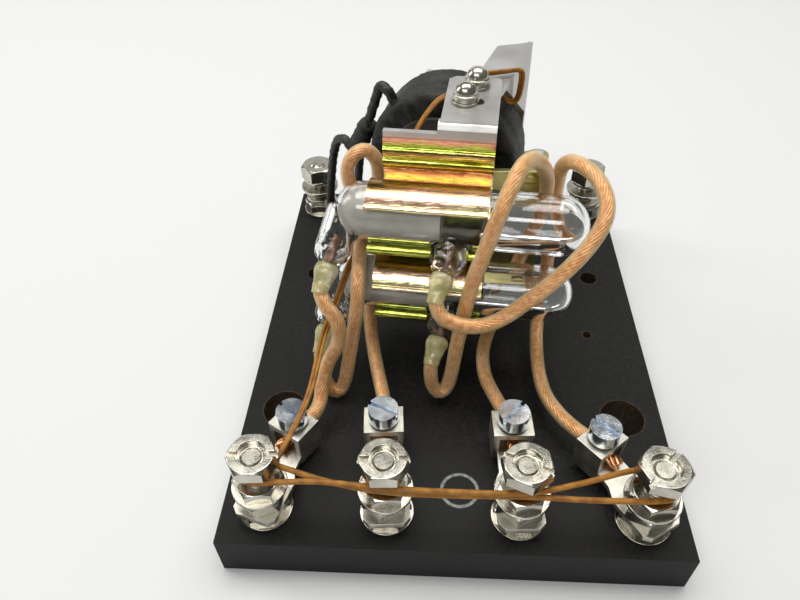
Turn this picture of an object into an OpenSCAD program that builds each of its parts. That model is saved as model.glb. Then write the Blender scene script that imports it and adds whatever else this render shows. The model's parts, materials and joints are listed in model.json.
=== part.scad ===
// Two-tube mercury tilt relay on an insulating slab.
// Frame: millimetres, +Z up, origin at the centre of the slab's underside, front terminals towards -Y.

/* [Base slab] */
// Width of the slab
base_w = 101.6; // [100:0.1:112]
// Depth of the slab
base_d = 127.5; // [127:0.1:136]
// Thickness of the slab
base_t = 12; // [11.5:0.1:12]
// Radius of the two large panel holes
panel_hole_r = 5.2; // [3:0.1:5.4]
// Radius of the two small panel holes
small_hole_r = 2.4; // [1.5:0.1:3]

/* [Terminals] */
// Distance between the two inner front studs
inner_pitch = 28.4; // [27:0.1:30]
// Distance between the two outer front studs
outer_pitch = 81.6; // [81:0.1:82]
// Radius of a stud
stud_r = 2.35; // [2:0.05:2.4]
// Width of a terminal nut across its flats
nut_af = 9.5; // [9:0.1:10]
// Radius of the plated washers
washer_r = 5.9; // [5.5:0.1:6]

/* [Tubes] */
// Outer radius of a glass tube
tube_r = 6.8; // [6.7:0.05:6.85]
// Thickness of the glass
glass_t = 1; // [0.8:0.1:1.1]
// Height of the upper tube's axis
upper_z = 57; // [56.8:0.1:57.2]
// Height of the lower tube's axis
lower_z = 36.6; // [36.4:0.1:36.8]

/* [Coil] */
// Radius of the taped winding
drum_r = 19.5; // [18:0.1:19.6]
// Length of the taped winding
drum_l = 15.8; // [14:0.1:16]
// Height of the core above the slab's underside
core_z = 50.6; // [50:0.1:50.8]

/* [Leads] */
// Outer diameter of an insulated tube lead
lead_d = 3.4; // [3:0.1:3.4]

/* [Hidden] */
$fn = 64;

// Terminals: the stud row is this far back from the slab's front edge.
term_y = -base_d / 2 + 8.65;
term_x = [-outer_pitch / 2, -inner_pitch / 2, inner_pitch / 2, outer_pitch / 2];
// Each lug turns this much about its stud, its collar this much in all, at this distance behind the stud.
lug_turn = [-17, 5, 3, 31];
collar_turn = [-33, 4, 3, 41];
collar_reach = [16.2, 16.9, 16.9, 15.8];
slot_turn = [3, 3, -22, 48];
// Heights of the terminal stack above the slab
z_wash = base_t;
z_jam = z_wash + 0.9;
z_lug = z_jam + 2.6;
z_lnut = z_lug + 1.5;
z_wire = z_lnut + 4.3;
z_check = z_wire + 0.9;
z_top = 30.1;
nut_h = 3.2;
// The rear posts of the coil
post = [43, 55.5];
large_hole = [41.5, -28];
small_hole = [40.7, 22.6];

// The coil's frame: turned clockwise about this point.
frame_at = [-2, 30, 0];
frame_turn = -14;
plate_t = 2;
front_v = -12;
rear_v = 9.5;
// Hinge pin of the armature, in the coil's frame, and the armature's opening
hinge = [22.7, 16.5];
rest_turn = -8;
pin_r = 1.5;
arm_t = 0.9;
// The tube plate's frame: its front face passes here, turned clockwise.
mount_at = [-4.5, 0, 0];
mount_turn = -6;
plate_w = 24.6;
tube_y = -7.75;
clip_t = 0.5;
top_z = 74;
screw_front = [4.6, 11];
screw_rear = [6.6, 18.7];
// Tube ends and wells, along the tubes
upper_ends = [-22.4, 34];
lower_ends = [-23.6, 33.4];
upper_wells = [-20, 5.8];
lower_wells = [-22, 5.2];
well_dir = [-0.18, -0.79, -0.59];
well_r = 4.2;
well_l = 9.5;

// Routes of the leads, from the glass seal to the terminal lug
route_1 = [[-29.9, -19.5, 46.2], [-30.2, -20.5, 45.4], [-28.8, -22.8, 43], [-26.5, -24, 39.6],
    [-26.7, -24.4, 33.2], [-29.3, -25.6, 27.6],
    [-31, -28, 23], [-31.3, -31, 20], [-32.4, -34.2, 18.8], [-34, -36.4, 18.7]];
route_2 = [[-31.9, -19.3, 25.9], [-32.2, -20.3, 25.1], [-32, -22.2, 21.5], [-30.8, -23.6, 16.4],
    [-28.6, -24, 14.3],
    [-26.6, -22.5, 17], [-24.5, -20, 28], [-22.7, -18.5, 38], [-22.3, -16, 44], [-22.3, -9, 46.9],
    [-22.5, -2, 48], [-23.7, 2.5, 53], [-25.5, 3.5, 60], [-24.3, 4.5, 64.2], [-21.3, 6, 65.2],
    [-19, 7.5, 61.5], [-19, 10, 54], [-19.5, 10, 42], [-21, 4.5, 31], [-21.5, -4, 25.5],
    [-20.5, -12, 21.8], [-18.5, -21, 19.6], [-16.5, -29, 18.8], [-16, -34.4, 18.7]];
route_3 = [[-4.9, -22.2, 25.8], [-5.2, -23.2, 25], [-5.3, -24, 22], [-4.8, -24.2, 18], [-3, -24.4, 15.6],
    [-0.8, -23.4, 18.5], [0.8, -22.4, 32], [3, -21.5, 48], [5.7, -20.5, 58.5], [8.7, -18, 68],
    [12, -12, 72.3], [15.3, -6, 70.8], [19.3, 0, 64], [21, 4.5, 55], [20, 6.5, 45], [17.3, 5, 36],
    [14, 1, 27.5], [10.2, -6, 21.5], [7.8, -14, 19.8], [8, -22, 19.4], [10.6, -29, 18.9],
    [13.1, -34.4, 18.7]];
route_4 = [[-4.3, -22.3, 46.2], [-4.5, -23.3, 45.4], [-3.4, -25, 43.2], [-1.5, -25.6, 42],
    [2, -26, 41], [6, -25.7, 41],
    [10.5, -25, 43], [18, -23.7, 50], [24.2, -21.7, 56.5], [28.8, -18, 62], [30.2, -14, 65.3],
    [28.8, -8, 67.5], [25.3, -2, 67.5], [23.8, 3.5, 63.5], [24, 8, 56], [24.5, 9.3, 44], [24.3, 6, 31],
    [22.2, -4, 20.5], [21.6, -15, 17.3], [22.4, -25, 17.3], [25.6, -32.6, 17.9], [30.2, -38.6, 18.7]];
// Coil leads: the splice is one fat taped length, and a wire leaves each of its ends.
wire_d = 2.6;
route_coil = [[-16.9, 29.4, 66.2], [-17.7, 29.8, 68], [-19.5, 31, 68.2], [-21.2, 32, 63.5], [-23, 33, 58]];
route_splice = [[-23.3, 33.1, 56.7], [-24.6, 34, 53.5], [-26, 35, 50.5], [-26.8, 35.6, 48.4]];
route_left = [[-28.7, 36.2, 47], [-30.8, 37.6, 49], [-33.2, 40.5, 47], [-35.2, 43.5, 41], [-37, 46.2, 32],
    [-38.3, 47.8, 24], [-38.7, 48.5, 19.6]];
route_right = [[-26.6, 37, 45.1], [-27.4, 38.4, 39], [-28.4, 40.4, 30], [-27, 43, 20], [-20, 47, 14.6],
    [-8, 51, 13.6], [10, 53, 13.6], [26, 53, 14], [32, 52.8, 15.6], [36.2, 52.3, 17.8]];
// Rubber bands
band_d = 1.3;
route_front = [[-37.6, -53.6, 27.4], [-26, -56.6, 26.4], [-14.2, -58.5, 26.3], [0, -58.8, 26.3],
    [14.2, -58.5, 26.3], [28, -58.8, 26.3], [41, -58.4, 26.3], [43.6, -56.8, 26.3], [43.6, -53.4, 26.3],
    [40.8, -51.9, 26.4], [35.4, -52.6, 27.4], [25, -56.2, 28], [14.2, -58.5, 27.7], [0, -58.8, 27.7],
    [-14.2, -58.5, 27.7], [-28, -57.6, 27.8], [-40.8, -58.4, 27.8], [-43.6, -56.8, 27.8],
    [-43.6, -53.4, 27.8], [-40.8, -51.9, 27.8]];
route_arm = [[-35.6, -51.2, 28.6], [-31.8, -39.6, 31.5], [-29.8, -26, 36], [-27, -16.5, 40.4],
    [-24.6, -9, 44.2], [-22, -1.6, 45.2],
    [-19, 2.5, 47], [-17, 5.8, 50.5], [-11, 13.5, 63.5], [-6.5, 17.8, 69.5], [-2.6, 20.6, 71.4],
    [4, 24, 71.4], [9.5, 26, 70.5], [12.6, 27, 66.6], [14.6, 27.2, 67], [15.2, 27, 71], [14.8, 26.6, 74.6],
    [11.5, 25.4, 75.1], [5.6, 23.7, 75.2]];

// ---------- helpers ----------
function unit(v) = v / norm(v);
function spline(a, b, c, d, t) = 0.5 * (2 * b + (c - a) * t + (2 * a - 5 * b + 4 * c - d) * t * t
    + (3 * b - a - 3 * c + d) * t * t * t);
// A smooth line through the points p, with n steps between each two
function smooth(p, n) = let (last = len(p) - 1) concat([for (i = [0:last - 1]) for (j = [0:n - 1])
    spline(p[max(i - 1, 0)], p[i], p[i + 1], p[min(i + 2, last)], j / n)], [p[last]]);
function tangent(q, i) = unit(q[min(i + 1, len(q) - 1)] - q[max(i - 1, 0)]);
function square_to(v, t) = unit(v - (v * t) * t);

// A round tube of radius r along the points p, as one closed polyhedron
module sweep(p, r, steps = 3, sides = 8) {
    q = smooth(p, steps);
    start = square_to([0.3, 0.2, 1], tangent(q, 0));
    side = [for (i = 0, s = start; i < len(q); i = i + 1,
        s = i < len(q) ? square_to(s, tangent(q, i)) : s) s];
    points = [for (i = [0:len(q) - 1]) for (k = [0:sides - 1])
        let (a = 360 * k / sides, t = tangent(q, i))
        q[i] + r * (cos(a) * side[i] + sin(a) * cross(t, side[i]))];
    walls = [for (i = [0:len(q) - 2]) for (k = [0:sides - 1])
        let (a = i * sides, b = a + sides, m = (k + 1) % sides) [a + k, b + k, b + m, a + m]];
    ends = [[for (k = [0:sides - 1]) k], [for (k = [sides - 1:-1:0]) (len(q) - 1) * sides + k]];
    polyhedron(points, concat(walls, ends));
}

module washer(r, h, hole) {
    difference() {
        cylinder(r = r, h = h);
        translate([0, 0, -1]) cylinder(r = hole, h = h + 2);
    }
}

// A hex nut with its top corners chamfered; slot is the depth of a screwdriver slot across its top
module hex_nut(af, h, hole, slot = 0) {
    corner = af / sqrt(3);
    difference() {
        intersection() {
            cylinder(r = corner, h = h, $fn = 6);
            rotate_extrude() polygon([[0, 0], [corner + 0.1, 0], [corner + 0.1, h - 0.7],
                [af / 2 - 0.1, h], [0, h]]);
        }
        translate([0, 0, -1]) cylinder(r = hole, h = h + 2);
        if (slot > 0) {
            translate([0, 0, h - 1.3]) cylinder(r = hole + 0.75, h = 2);
            translate([-af, -0.55, h - slot]) cube([2 * af, 1.1, slot + 1]);
        }
    }
}

// A screw with its cheese head on top at z = 0, its shank down to -l
module slotted_screw(head_r, head_h, r, l, slot_w) {
    difference() {
        union() {
            cylinder(r = head_r, h = head_h);
            translate([0, 0, -l]) cylinder(r = r, h = l + 0.2);
        }
        translate([-head_r - 1, -slot_w / 2, head_h * 0.6]) cube([2 * head_r + 2, slot_w, head_h]);
    }
}

module at_terminals() { for (x = term_x) translate([x, term_y, 0]) children(); }
module at_posts() { for (s = [-1, 1]) translate([s * post[0], post[1], 0]) children(); }
module coil_frame() { translate(frame_at) rotate([0, 0, frame_turn]) children(); }
module armature_frame() {
    coil_frame() translate([hinge[0], hinge[1], 0]) rotate([0, 0, rest_turn]) children();
}
module mount_frame() { translate(mount_at) rotate([0, 0, mount_turn]) children(); }
// Turns +Z to the direction d
module along(d) { rotate([0, acos(d[2] / norm(d)), atan2(d[1], d[0])]) children(); }
// Draws a side view given in (y, z) and extrudes it along x
module side_view(x0, x1) { translate([x0, 0, 0]) rotate([90, 0, 90]) linear_extrude(x1 - x0) children(); }
// Draws a front view given in (x, z) and extrudes it along y
module front_view(y0, y1) { translate([0, y1, 0]) rotate([90, 0, 0]) linear_extrude(y1 - y0) children(); }

// ---------- base and terminals ----------
module base_slab() {
    color([0.13, 0.12, 0.12]) difference() {
        translate([-base_w / 2, -base_d / 2, 0]) cube([base_w, base_d, base_t]);
        at_terminals() stud_hole();
        at_posts() stud_hole();
        for (s = [-1, 1]) {
            translate([s * large_hole[0], large_hole[1], -1]) cylinder(r = panel_hole_r, h = base_t + 2);
            translate([s * small_hole[0], small_hole[1], -1]) cylinder(r = small_hole_r, h = base_t + 2);
        }
        translate([37, -0.5, base_t - 3]) cylinder(r = 1.15, h = 4);
        coil_frame() for (v = yoke_screw_v) translate([0, v, 0]) small_screw_hole();
        for (x = bracket_screw_x) translate([x, bracket_screw_y, 0]) small_screw_hole();
    }
}
module stud_hole() {
    translate([0, 0, -1]) cylinder(r = stud_r, h = base_t + 2);
    translate([0, 0, -1]) cylinder(r = 5.4, h = 5);
}
module small_screw_hole() {
    translate([0, 0, -1]) cylinder(r = 1.5, h = base_t + 2);
    translate([0, 0, -1]) cylinder(r = 3.2, h = 5);
}
yoke_screw_v = [-5, 5];
bracket_screw_x = [-3, 17];
bracket_screw_y = 8.6;

module stud(top) {
    translate([0, 0, 1.2]) cylinder(r = 4.9, h = 2.8);
    translate([0, 0, 3]) cylinder(r = stud_r, h = top - 3.5);
    translate([0, 0, top - 0.6]) cylinder(r1 = stud_r, r2 = stud_r - 0.5, h = 0.6);
}
module terminal_studs() { color([0.8, 0.78, 0.72]) at_terminals() stud(32.3); }
module base_washers() {
    color([0.82, 0.8, 0.75]) at_terminals() translate([0, 0, z_wash]) washer(washer_r, 0.9, stud_r);
}
module jam_nuts() {
    color([0.8, 0.78, 0.72]) at_terminals() translate([0, 0, z_jam]) hex_nut(nut_af, 2.6, stud_r);
}
module lug_nuts() {
    color([0.8, 0.78, 0.72]) at_terminals() translate([0, 0, z_lnut]) rotate(20) hex_nut(nut_af, 3.2, stud_r);
}
module wire_washers() {
    color([0.85, 0.83, 0.78]) at_terminals() {
        translate([0, 0, z_lnut + 3.3]) washer(4.6, 0.8, stud_r);
        translate([0, 0, z_wire]) washer(washer_r, 0.9, stud_r);
    }
}
module check_nuts() {
    color([0.8, 0.78, 0.72]) at_terminals() translate([0, 0, z_check]) rotate(10) hex_nut(nut_af, 2.8, stud_r);
}
module slotted_nuts() {
    color([0.84, 0.82, 0.76]) for (i = [0:3])
        translate([term_x[i], term_y, z_top]) rotate(slot_turn[i]) hex_nut(nut_af, nut_h, stud_r, 1.3);
}

// One box lug: a tongue on the stud and a collar behind it that holds the wire
module lug(i) {
    color([0.72, 0.7, 0.63]) translate([term_x[i], term_y, 0]) rotate(lug_turn[i]) difference() {
        union() {
            translate([0, 0, z_lug]) linear_extrude(1.5) polygon([[-3.6, -5.6], [3.6, -5.6], [5, -4.2],
                [5, 5], [3.6, 8], [3.4, collar_reach[i] - 3], [-3.4, collar_reach[i] - 3], [-3.6, 8],
                [-5, 5], [-5, -4.2]]);
            translate([0, collar_reach[i], 0]) rotate(collar_turn[i] - lug_turn[i]) collar();
        }
        translate([0, 0, z_lug - 1]) cylinder(r = stud_r, h = 4);
    }
}
module collar() {
    difference() {
        union() {
            translate([-4.5, -3.5, z_lug - 1.3]) cube([9, 7, 8.6]);
            translate([0, 0, z_lug + 7.2]) cylinder(r = 2.8, h = 0.5);
        }
        translate([-3.1, -5, z_lug + 0.7]) cube([6.2, 10, 5]);
        translate([0, 0, z_lug + 5]) cylinder(r = 1.5, h = 5);
    }
}
module at_collar(i) {
    translate([term_x[i], term_y, 0]) rotate(lug_turn[i])
        translate([0, collar_reach[i], 0]) rotate(collar_turn[i] - lug_turn[i]) children();
}
clamp_turn = [-3, -27, 45, -87];
module clamp_screws() {
    color([0.7, 0.76, 0.82]) for (i = [0:3]) at_collar(i) translate([0, 0, z_lug + 8.1])
        rotate(clamp_turn[i]) slotted_screw(3.4, 3.4, 1.5, 3.7, 0.9);
}
module bare_wire_ends() {
    color([0.72, 0.4, 0.2]) for (i = [0:3], x = [-1.2, 0, 1.2]) at_collar(i) translate([x, 3.2, 18.7])
        rotate([90, 0, 0]) cylinder(r = 0.55, h = 8.4 - abs(x));
}

module coil_studs() { color([0.8, 0.78, 0.72]) at_posts() stud(29.8); }
module coil_stud_washers() {
    color([0.82, 0.8, 0.75]) at_posts() {
        translate([0, 0, base_t]) washer(washer_r, 0.9, stud_r);
        translate([0, 0, 17.1]) washer(4.6, 0.8, stud_r);
        translate([0, 0, 20.8]) washer(washer_r, 0.9, stud_r);
        translate([0, 0, 24.3]) washer(5, 0.8, stud_r);
    }
}
module coil_stud_nuts() {
    color([0.8, 0.78, 0.72]) at_posts() {
        translate([0, 0, base_t + 0.9]) hex_nut(nut_af, 3.2, stud_r);
        translate([0, 0, 25.1]) rotate(14) hex_nut(nut_af, 4.2, stud_r);
    }
}
// Ring lugs crimped on the coil's wires
module coil_wire_lugs() {
    color([0.7, 0.66, 0.55]) for (s = [-1, 1]) translate([s * post[0], post[1], 0]) rotate(s < 0 ? 35 : -65)
        difference() {
            union() {
                translate([0, 0, 16.2]) cylinder(r = 4, h = 0.8);
                translate([-1.4, -5.8, 16.2]) cube([2.8, 4, 0.8]);
                translate([-1.4, -6.6, 16.2]) cube([2.8, 1.2, 3]);
            }
            translate([0, 0, 15]) cylinder(r = stud_r, h = 4);
        }
}

// ---------- coil and its frame ----------
module pole_outline() {
    translate([-14, base_t]) square([28, core_z - base_t]);
    translate([0, core_z]) circle(r = 9.5);
}
module yoke_frame() {
    color([0.66, 0.62, 0.34]) coil_frame() difference() {
        union() {
            front_view(front_v, front_v + plate_t) pole_outline();
            translate([-14, front_v, base_t]) cube([28, rear_v - front_v + plate_t, plate_t]);
            front_view(rear_v, rear_v + plate_t) {
                pole_outline();
                translate([0, base_t]) square([20, 32]);
            }
        }
        translate([0, front_v - 1, core_z]) rotate([-90, 0, 0]) cylinder(r = 2, h = plate_t + 2);
        translate([0, rear_v - 1, core_z]) rotate([-90, 0, 0]) cylinder(r = 5, h = plate_t + 2);
        for (v = yoke_screw_v) translate([0, v, base_t - 1]) cylinder(r = 1.5, h = 5);
    }
}
module yoke_screws() {
    color([0.7, 0.66, 0.4]) coil_frame() for (v = yoke_screw_v) translate([0, v, 0]) from_below(15.4);
}
module from_below(top) {
    translate([0, 0, 1.2]) cylinder(r = 2.9, h = 2.8);
    translate([0, 0, 3]) cylinder(r = 1.5, h = top - 3);
}
module coil_core() {
    color([0.55, 0.55, 0.56]) coil_frame() translate([0, 0, core_z]) rotate([-90, 0, 0]) difference() {
        translate([0, 0, front_v + plate_t]) cylinder(r = 5, h = 15.4 - front_v - plate_t);
        translate([0, 0, front_v]) cylinder(r = 2, h = 12);
    }
}
module core_screw() {
    color([0.72, 0.68, 0.4]) coil_frame() translate([0, front_v, core_z]) rotate([90, 0, 0])
        slotted_screw(3.4, 2.2, 2, 11.8, 0.9);
}
module coil_bobbin() {
    color([0.16, 0.15, 0.14]) coil_frame() translate([0, 0, core_z]) rotate([-90, 0, 0]) difference() {
        union() {
            translate([0, 0, -9.6]) cylinder(r = 14, h = 1.4);
            translate([0, 0, -9.6]) cylinder(r = 7, h = 18.9);
            translate([0, 0, 8]) cylinder(r = 14, h = 1.3);
        }
        translate([0, 0, -12]) cylinder(r = 5.05, h = 24);
    }
}
module coil_winding() {
    color([0.1, 0.1, 0.1]) coil_frame() translate([0, 0, core_z]) rotate([-90, 0, 0]) difference() {
        translate([0, 0, -drum_l / 2]) rotate_extrude() polygon([[0, 0], [drum_r - 0.8, 0], [drum_r, 0.8],
            [drum_r, drum_l - 0.8], [drum_r - 0.8, drum_l], [0, drum_l]]);
        translate([0, 0, -12]) cylinder(r = 7, h = 24);
    }
}
ear_z = [22, 39.8];
ear_t = 3.2;
module hinge_bracket() {
    color([0.66, 0.62, 0.34]) coil_frame() difference() {
        union() {
            translate([12, rear_v + plate_t, 20]) cube([8, 1.5, 23]);
            for (z = ear_z) translate([0, 0, z]) linear_extrude(ear_t) {
                polygon([[13.6, 11.6], [20, 11.6], [25.4, 15.2], [25.4, 17.4], [21, 18.8], [13.6, 13.2]]);
                translate(hinge) circle(r = 3);
            }
        }
        translate([hinge[0], hinge[1], 20]) cylinder(r = pin_r, h = 26);
    }
}
module hinge_pin() {
    color([0.6, 0.6, 0.6]) coil_frame() translate([hinge[0], hinge[1], ear_z[0] - 0.8]) {
        cylinder(r = pin_r, h = ear_z[1] + ear_t - ear_z[0] + 1.6);
        translate([0, 0, -0.8]) cylinder(r = 2.4, h = 0.8);
    }
}
stop_x = 2.1;
stop_z = 48;
module stop_bracket() {
    color([0.62, 0.6, 0.3]) difference() {
        union() {
            translate([-8, 12.4, base_t]) cube([30, 1.5, 55.6 - base_t]);
            translate([-8, 5, base_t]) cube([30, 8.9, 1.5]);
        }
        for (x = bracket_screw_x) translate([x, bracket_screw_y, base_t - 1]) cylinder(r = 1.5, h = 4);
        translate([stop_x, 11, stop_z]) rotate([-90, 0, 0]) cylinder(r = 1.4, h = 5);
        translate([18.2, 11, 53]) rotate([-90, 0, 0]) cylinder(r = 1.2, h = 5);
    }
}
module bracket_screws() {
    color([0.72, 0.62, 0.32]) {
        for (x = bracket_screw_x) translate([x, bracket_screw_y, 0]) from_below(14.6);
        translate([18.2, 12.4, 53]) rotate([90, 0, 0]) slotted_screw(1.9, 1.1, 1.2, 2.6, 0.6);
    }
}
module stop_screw() {
    color([0.8, 0.78, 0.72]) translate([stop_x, 15.6, stop_z])
        rotate([90, 0, 0]) cylinder(r = 1.4, h = 14.7);
}
module stop_lock_nut() {
    color([0.8, 0.78, 0.72]) translate([stop_x, 12.4, stop_z]) rotate([90, 0, 0]) hex_nut(5.5, 2, 1.4);
}
// A compression spring between the frame's rear plate and the armature
spring_at = [-10, 36];
spring_turns = 5;
module return_spring() {
    r = 2.2;
    length = 7.2;
    steps = 12 * spring_turns;
    helix = [for (i = [0:steps]) let (a = 360 * i / 12)
        [spring_at[0] + r * cos(a), rear_v + plate_t + 0.4 + length * i / steps, spring_at[1] + r * sin(a)]];
    color([0.7, 0.7, 0.7]) coil_frame() sweep(helix, 0.3, 1, 6);
}
module coil_lead_left() {
    color([0.08, 0.08, 0.08]) { sweep(route_coil, wire_d / 2); sweep(route_left, wire_d / 2); }
}
module coil_lead_right() { color([0.08, 0.08, 0.08]) sweep(route_right, wire_d / 2); }
module lead_splice() { color([0.06, 0.06, 0.06]) sweep(route_splice, 2.7); }
module lead_1() { color([0.85, 0.6, 0.38]) sweep(route_1, lead_d / 2, 3); }
module lead_2() { color([0.85, 0.6, 0.38]) sweep(route_2, lead_d / 2, 3); }
module lead_3() { color([0.85, 0.6, 0.38]) sweep(route_3, lead_d / 2, 3); }
module lead_4() { color([0.85, 0.6, 0.38]) sweep(route_4, lead_d / 2, 3); }
module band_front() { color([0.72, 0.45, 0.12]) sweep(route_front, band_d / 2, 3, 6); }
module band_arm() { color([0.72, 0.45, 0.12]) sweep(route_arm, band_d / 2, 3, 6); }

// ---------- moving arm ----------
module armature() {
    color([0.5, 0.5, 0.52]) armature_frame() difference() {
        union() {
            front_view(-arm_t, arm_t) polygon([[-34.7, 33], [-34.7, 62], [-10.4, 62], [-10.4, 39.5],
                [0, 39.5], [0, 25.5], [-10.4, 25.5], [-10.4, 33]]);
            translate([0, 0, 25.5]) cylinder(r = 2.6, h = 14);
        }
        translate([0, 0, 20]) cylinder(r = pin_r + 0.05, h = 24);
        for (x = rivet_x) translate([x, -2, 50]) rotate([-90, 0, 0]) cylinder(r = 1.2, h = 4);
    }
}
rivet_x = [-20, -13];
flange_turn = 3.17;
module arm() {
    color([0.78, 0.78, 0.79]) armature_frame() difference() {
        union() {
            translate([0, 0, top_z - 1.2]) linear_extrude(1.15) polygon([[-13.2, -40], [-4.4, -40],
                [-4.4, -23.4], [-5.8, 1.9], [-13.5, -3.7], [-12.8, -19.4]]);
            translate([-4.4, -23.4, 0]) rotate(flange_turn) side_view(-1.2, 0)
                polygon([[0, top_z - 0.05], [0, top_z - 1.2], [25.3, 54], [25.3, top_z - 0.05]]);
            front_view(arm_t, arm_t + 1.2)
                polygon([[-24, 43], [-24, 58], [-7, 58], [-7, 70], [-5.8, 70], [-5.8, 43]]);
        }
        for (x = rivet_x) translate([x, 0, 50]) rotate([-90, 0, 0]) cylinder(r = 1.2, h = 4);
        mount_in_armature() for (p = [screw_front, screw_rear])
            translate([p[0], p[1], 60]) cylinder(r = 1.4, h = 20);
    }
}
// The tube plate's frame seen from the armature's
module mount_in_armature() {
    rotate([0, 0, -rest_turn]) translate([-hinge[0], -hinge[1], 0]) rotate([0, 0, -frame_turn])
        translate(-frame_at) mount_frame() children();
}
module arm_rivets() {
    color([0.75, 0.75, 0.76]) armature_frame() for (x = rivet_x) translate([x, 0, 50]) rotate([-90, 0, 0]) {
        translate([0, 0, -arm_t]) cylinder(r = 1.2, h = 2 * arm_t + 1.6);
        translate([0, 0, arm_t + 1.2]) cylinder(r = 2.1, h = 0.9);
    }
}
module at_adjusters() {
    mount_frame() for (p = [screw_front, screw_rear]) translate([p[0], p[1], 0]) children();
}
module adjuster_screws() {
    color([0.8, 0.78, 0.72]) at_adjusters() {
        translate([0, 0, top_z - 3.2]) cylinder(r = 2.6, h = 2);
        translate([0, 0, top_z - 2]) cylinder(r = 1.4, h = 5.6);
    }
}
module adjuster_washers() {
    color([0.82, 0.8, 0.75]) at_adjusters() translate([0, 0, top_z + 1.25]) washer(3.1, 0.6, 1.4);
}
module acorn_nuts() {
    color([0.84, 0.82, 0.76]) at_adjusters() translate([0, 0, top_z + 1.85]) difference() {
        union() {
            cylinder(r = 2.85, h = 1.5);
            translate([0, 0, 1.3]) sphere(r = 2.6);
        }
        translate([0, 0, -3]) cylinder(r = 4, h = 3);
        translate([0, 0, -1]) cylinder(r = 1.4, h = 2.75);
    }
}

// ---------- tube plate and tubes ----------
slot_r = 1.55;
module tube_plate() {
    color([0.8, 0.8, 0.81]) mount_frame() difference() {
        union() {
            front_view(0, 1.3) polygon([[-plate_w / 2, 24], [plate_w / 2, 24], [plate_w / 2, top_z],
                [-0.4, top_z], [-0.4, top_z - 1], [-plate_w / 2, top_z - 1]]);
            translate([0, 2.5, top_z]) linear_extrude(1.2) {
                polygon([[0, -1], [plate_w / 2, -1], [plate_w / 2, 18.9], [1.6, 20.5], [0, 19]]);
                translate([plate_w / 2 - 1.6, 18.9]) circle(r = 1.6);
                polygon([[1.6, 20.5], [plate_w / 2 - 1.6, 20.5], [plate_w / 2 - 1.6, 18], [1.6, 18]]);
            }
            translate([0, 0, top_z]) side_view(-0.4, plate_w / 2) bend_profile();
        }
        translate([0, screw_front[1], top_z - 1]) linear_extrude(3) {
            translate([3, 0]) circle(r = slot_r);
            translate([7.3, 0]) circle(r = slot_r);
            translate([3, -slot_r]) square([4.3, 2 * slot_r]);
        }
        translate([screw_rear[0], screw_rear[1], top_z - 1]) cylinder(r = 1.45, h = 3);
    }
}
// The round bend from the plate into its tab, in (y, z) from the plate's top edge
module bend_profile() {
    intersection() {
        difference() {
            translate([2.5, -1.3]) circle(r = 2.5);
            translate([2.5, -1.3]) circle(r = 1.3);
        }
        translate([0, -1.3]) square([2.5, 2.5]);
    }
    translate([0, -1.4]) square([1.3, 0.2]);
    translate([2.4, 0]) square([0.3, 1.2]);
}

// A sector of a ring round the origin from angle a to angle b, as points of an arc
module ring_sector(r_in, r_out, a, b) {
    n = 28;
    difference() {
        intersection() {
            circle(r = r_out);
            polygon(concat([[0, 0]],
                [for (i = [0:n]) 2 * r_out * [cos(a + (b - a) * i / n), sin(a + (b - a) * i / n)]]));
        }
        circle(r = r_in);
    }
}
module clip(zc, top, bottom, lip, overhang, ridges, places) {
    clip_r = tube_r + 0.2;
    roll_at = clip_r + clip_t / 2 + 1.1;
    roll_angle = -122;
    color([0.78, 0.66, 0.3]) mount_frame() {
        side_view(-plate_w / 2, plate_w / 2) difference() {
            union() {
                translate([-clip_t, bottom]) square([clip_t, top - bottom]);
                for (z = ridges) translate([-0.2, z]) circle(r = 1.3);
            }
            square([9, 90]);
        }
        difference() {
            side_view(-plate_w / 2 - overhang, plate_w / 2 - 0.3) translate([tube_y, zc]) {
                ring_sector(clip_r, clip_r + clip_t, roll_angle, lip);
                rotate(lip) translate([clip_r + 0.65, 0]) circle(r = 0.6);
                rotate(roll_angle) translate([roll_at, 0]) ring_sector(0.8, 1.3, 40, 330);
            }
            translate([0, tube_y, zc]) wells(places, well_r + 0.3, well_l);
        }
    }
}
module clip_upper() { clip(upper_z, top_z - 2.4, 46.6, 137, 2.2, [68.4, 65.6], upper_wells); }
module clip_lower() { clip(lower_z, 46.2, 25.4, 153, 1.3, [], lower_wells); }

// A straight capsule of radius r between two ends along x
module capsule(ends, r, wall) {
    translate([ends[0] + wall + r, 0, 0]) sphere(r = r);
    translate([ends[1] - wall - r, 0, 0]) sphere(r = r);
    translate([ends[0] + wall + r, 0, 0]) rotate([0, 90, 0])
        cylinder(r = r, h = ends[1] - ends[0] - 2 * (wall + r));
}
module wells(places, r, l) {
    for (x = places) translate([x, 0, 0]) along(well_dir) {
        cylinder(r = r, h = l);
        translate([0, 0, l]) sphere(r = r);
    }
}
module tube(zc, ends, places) {
    color([0.85, 0.9, 0.92, 0.35]) mount_frame() translate([0, tube_y, zc]) difference() {
        union() {
            capsule(ends, tube_r, 0);
            wells(places, well_r, well_l);
            translate([ends[0] - 1.6, 0, 0]) rotate([0, 90, 0]) cylinder(r1 = 0.5, r2 = 1.8, h = 3.4);
        }
        capsule(ends, tube_r - glass_t, glass_t);
        wells(places, well_r - glass_t, well_l);
        for (x = places) translate([x, 0, 0]) along(well_dir) cylinder(r = 0.9, h = 20);
    }
}
module tube_upper() { tube(upper_z, upper_ends, upper_wells); }
module tube_lower() { tube(lower_z, lower_ends, lower_wells); }
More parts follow.
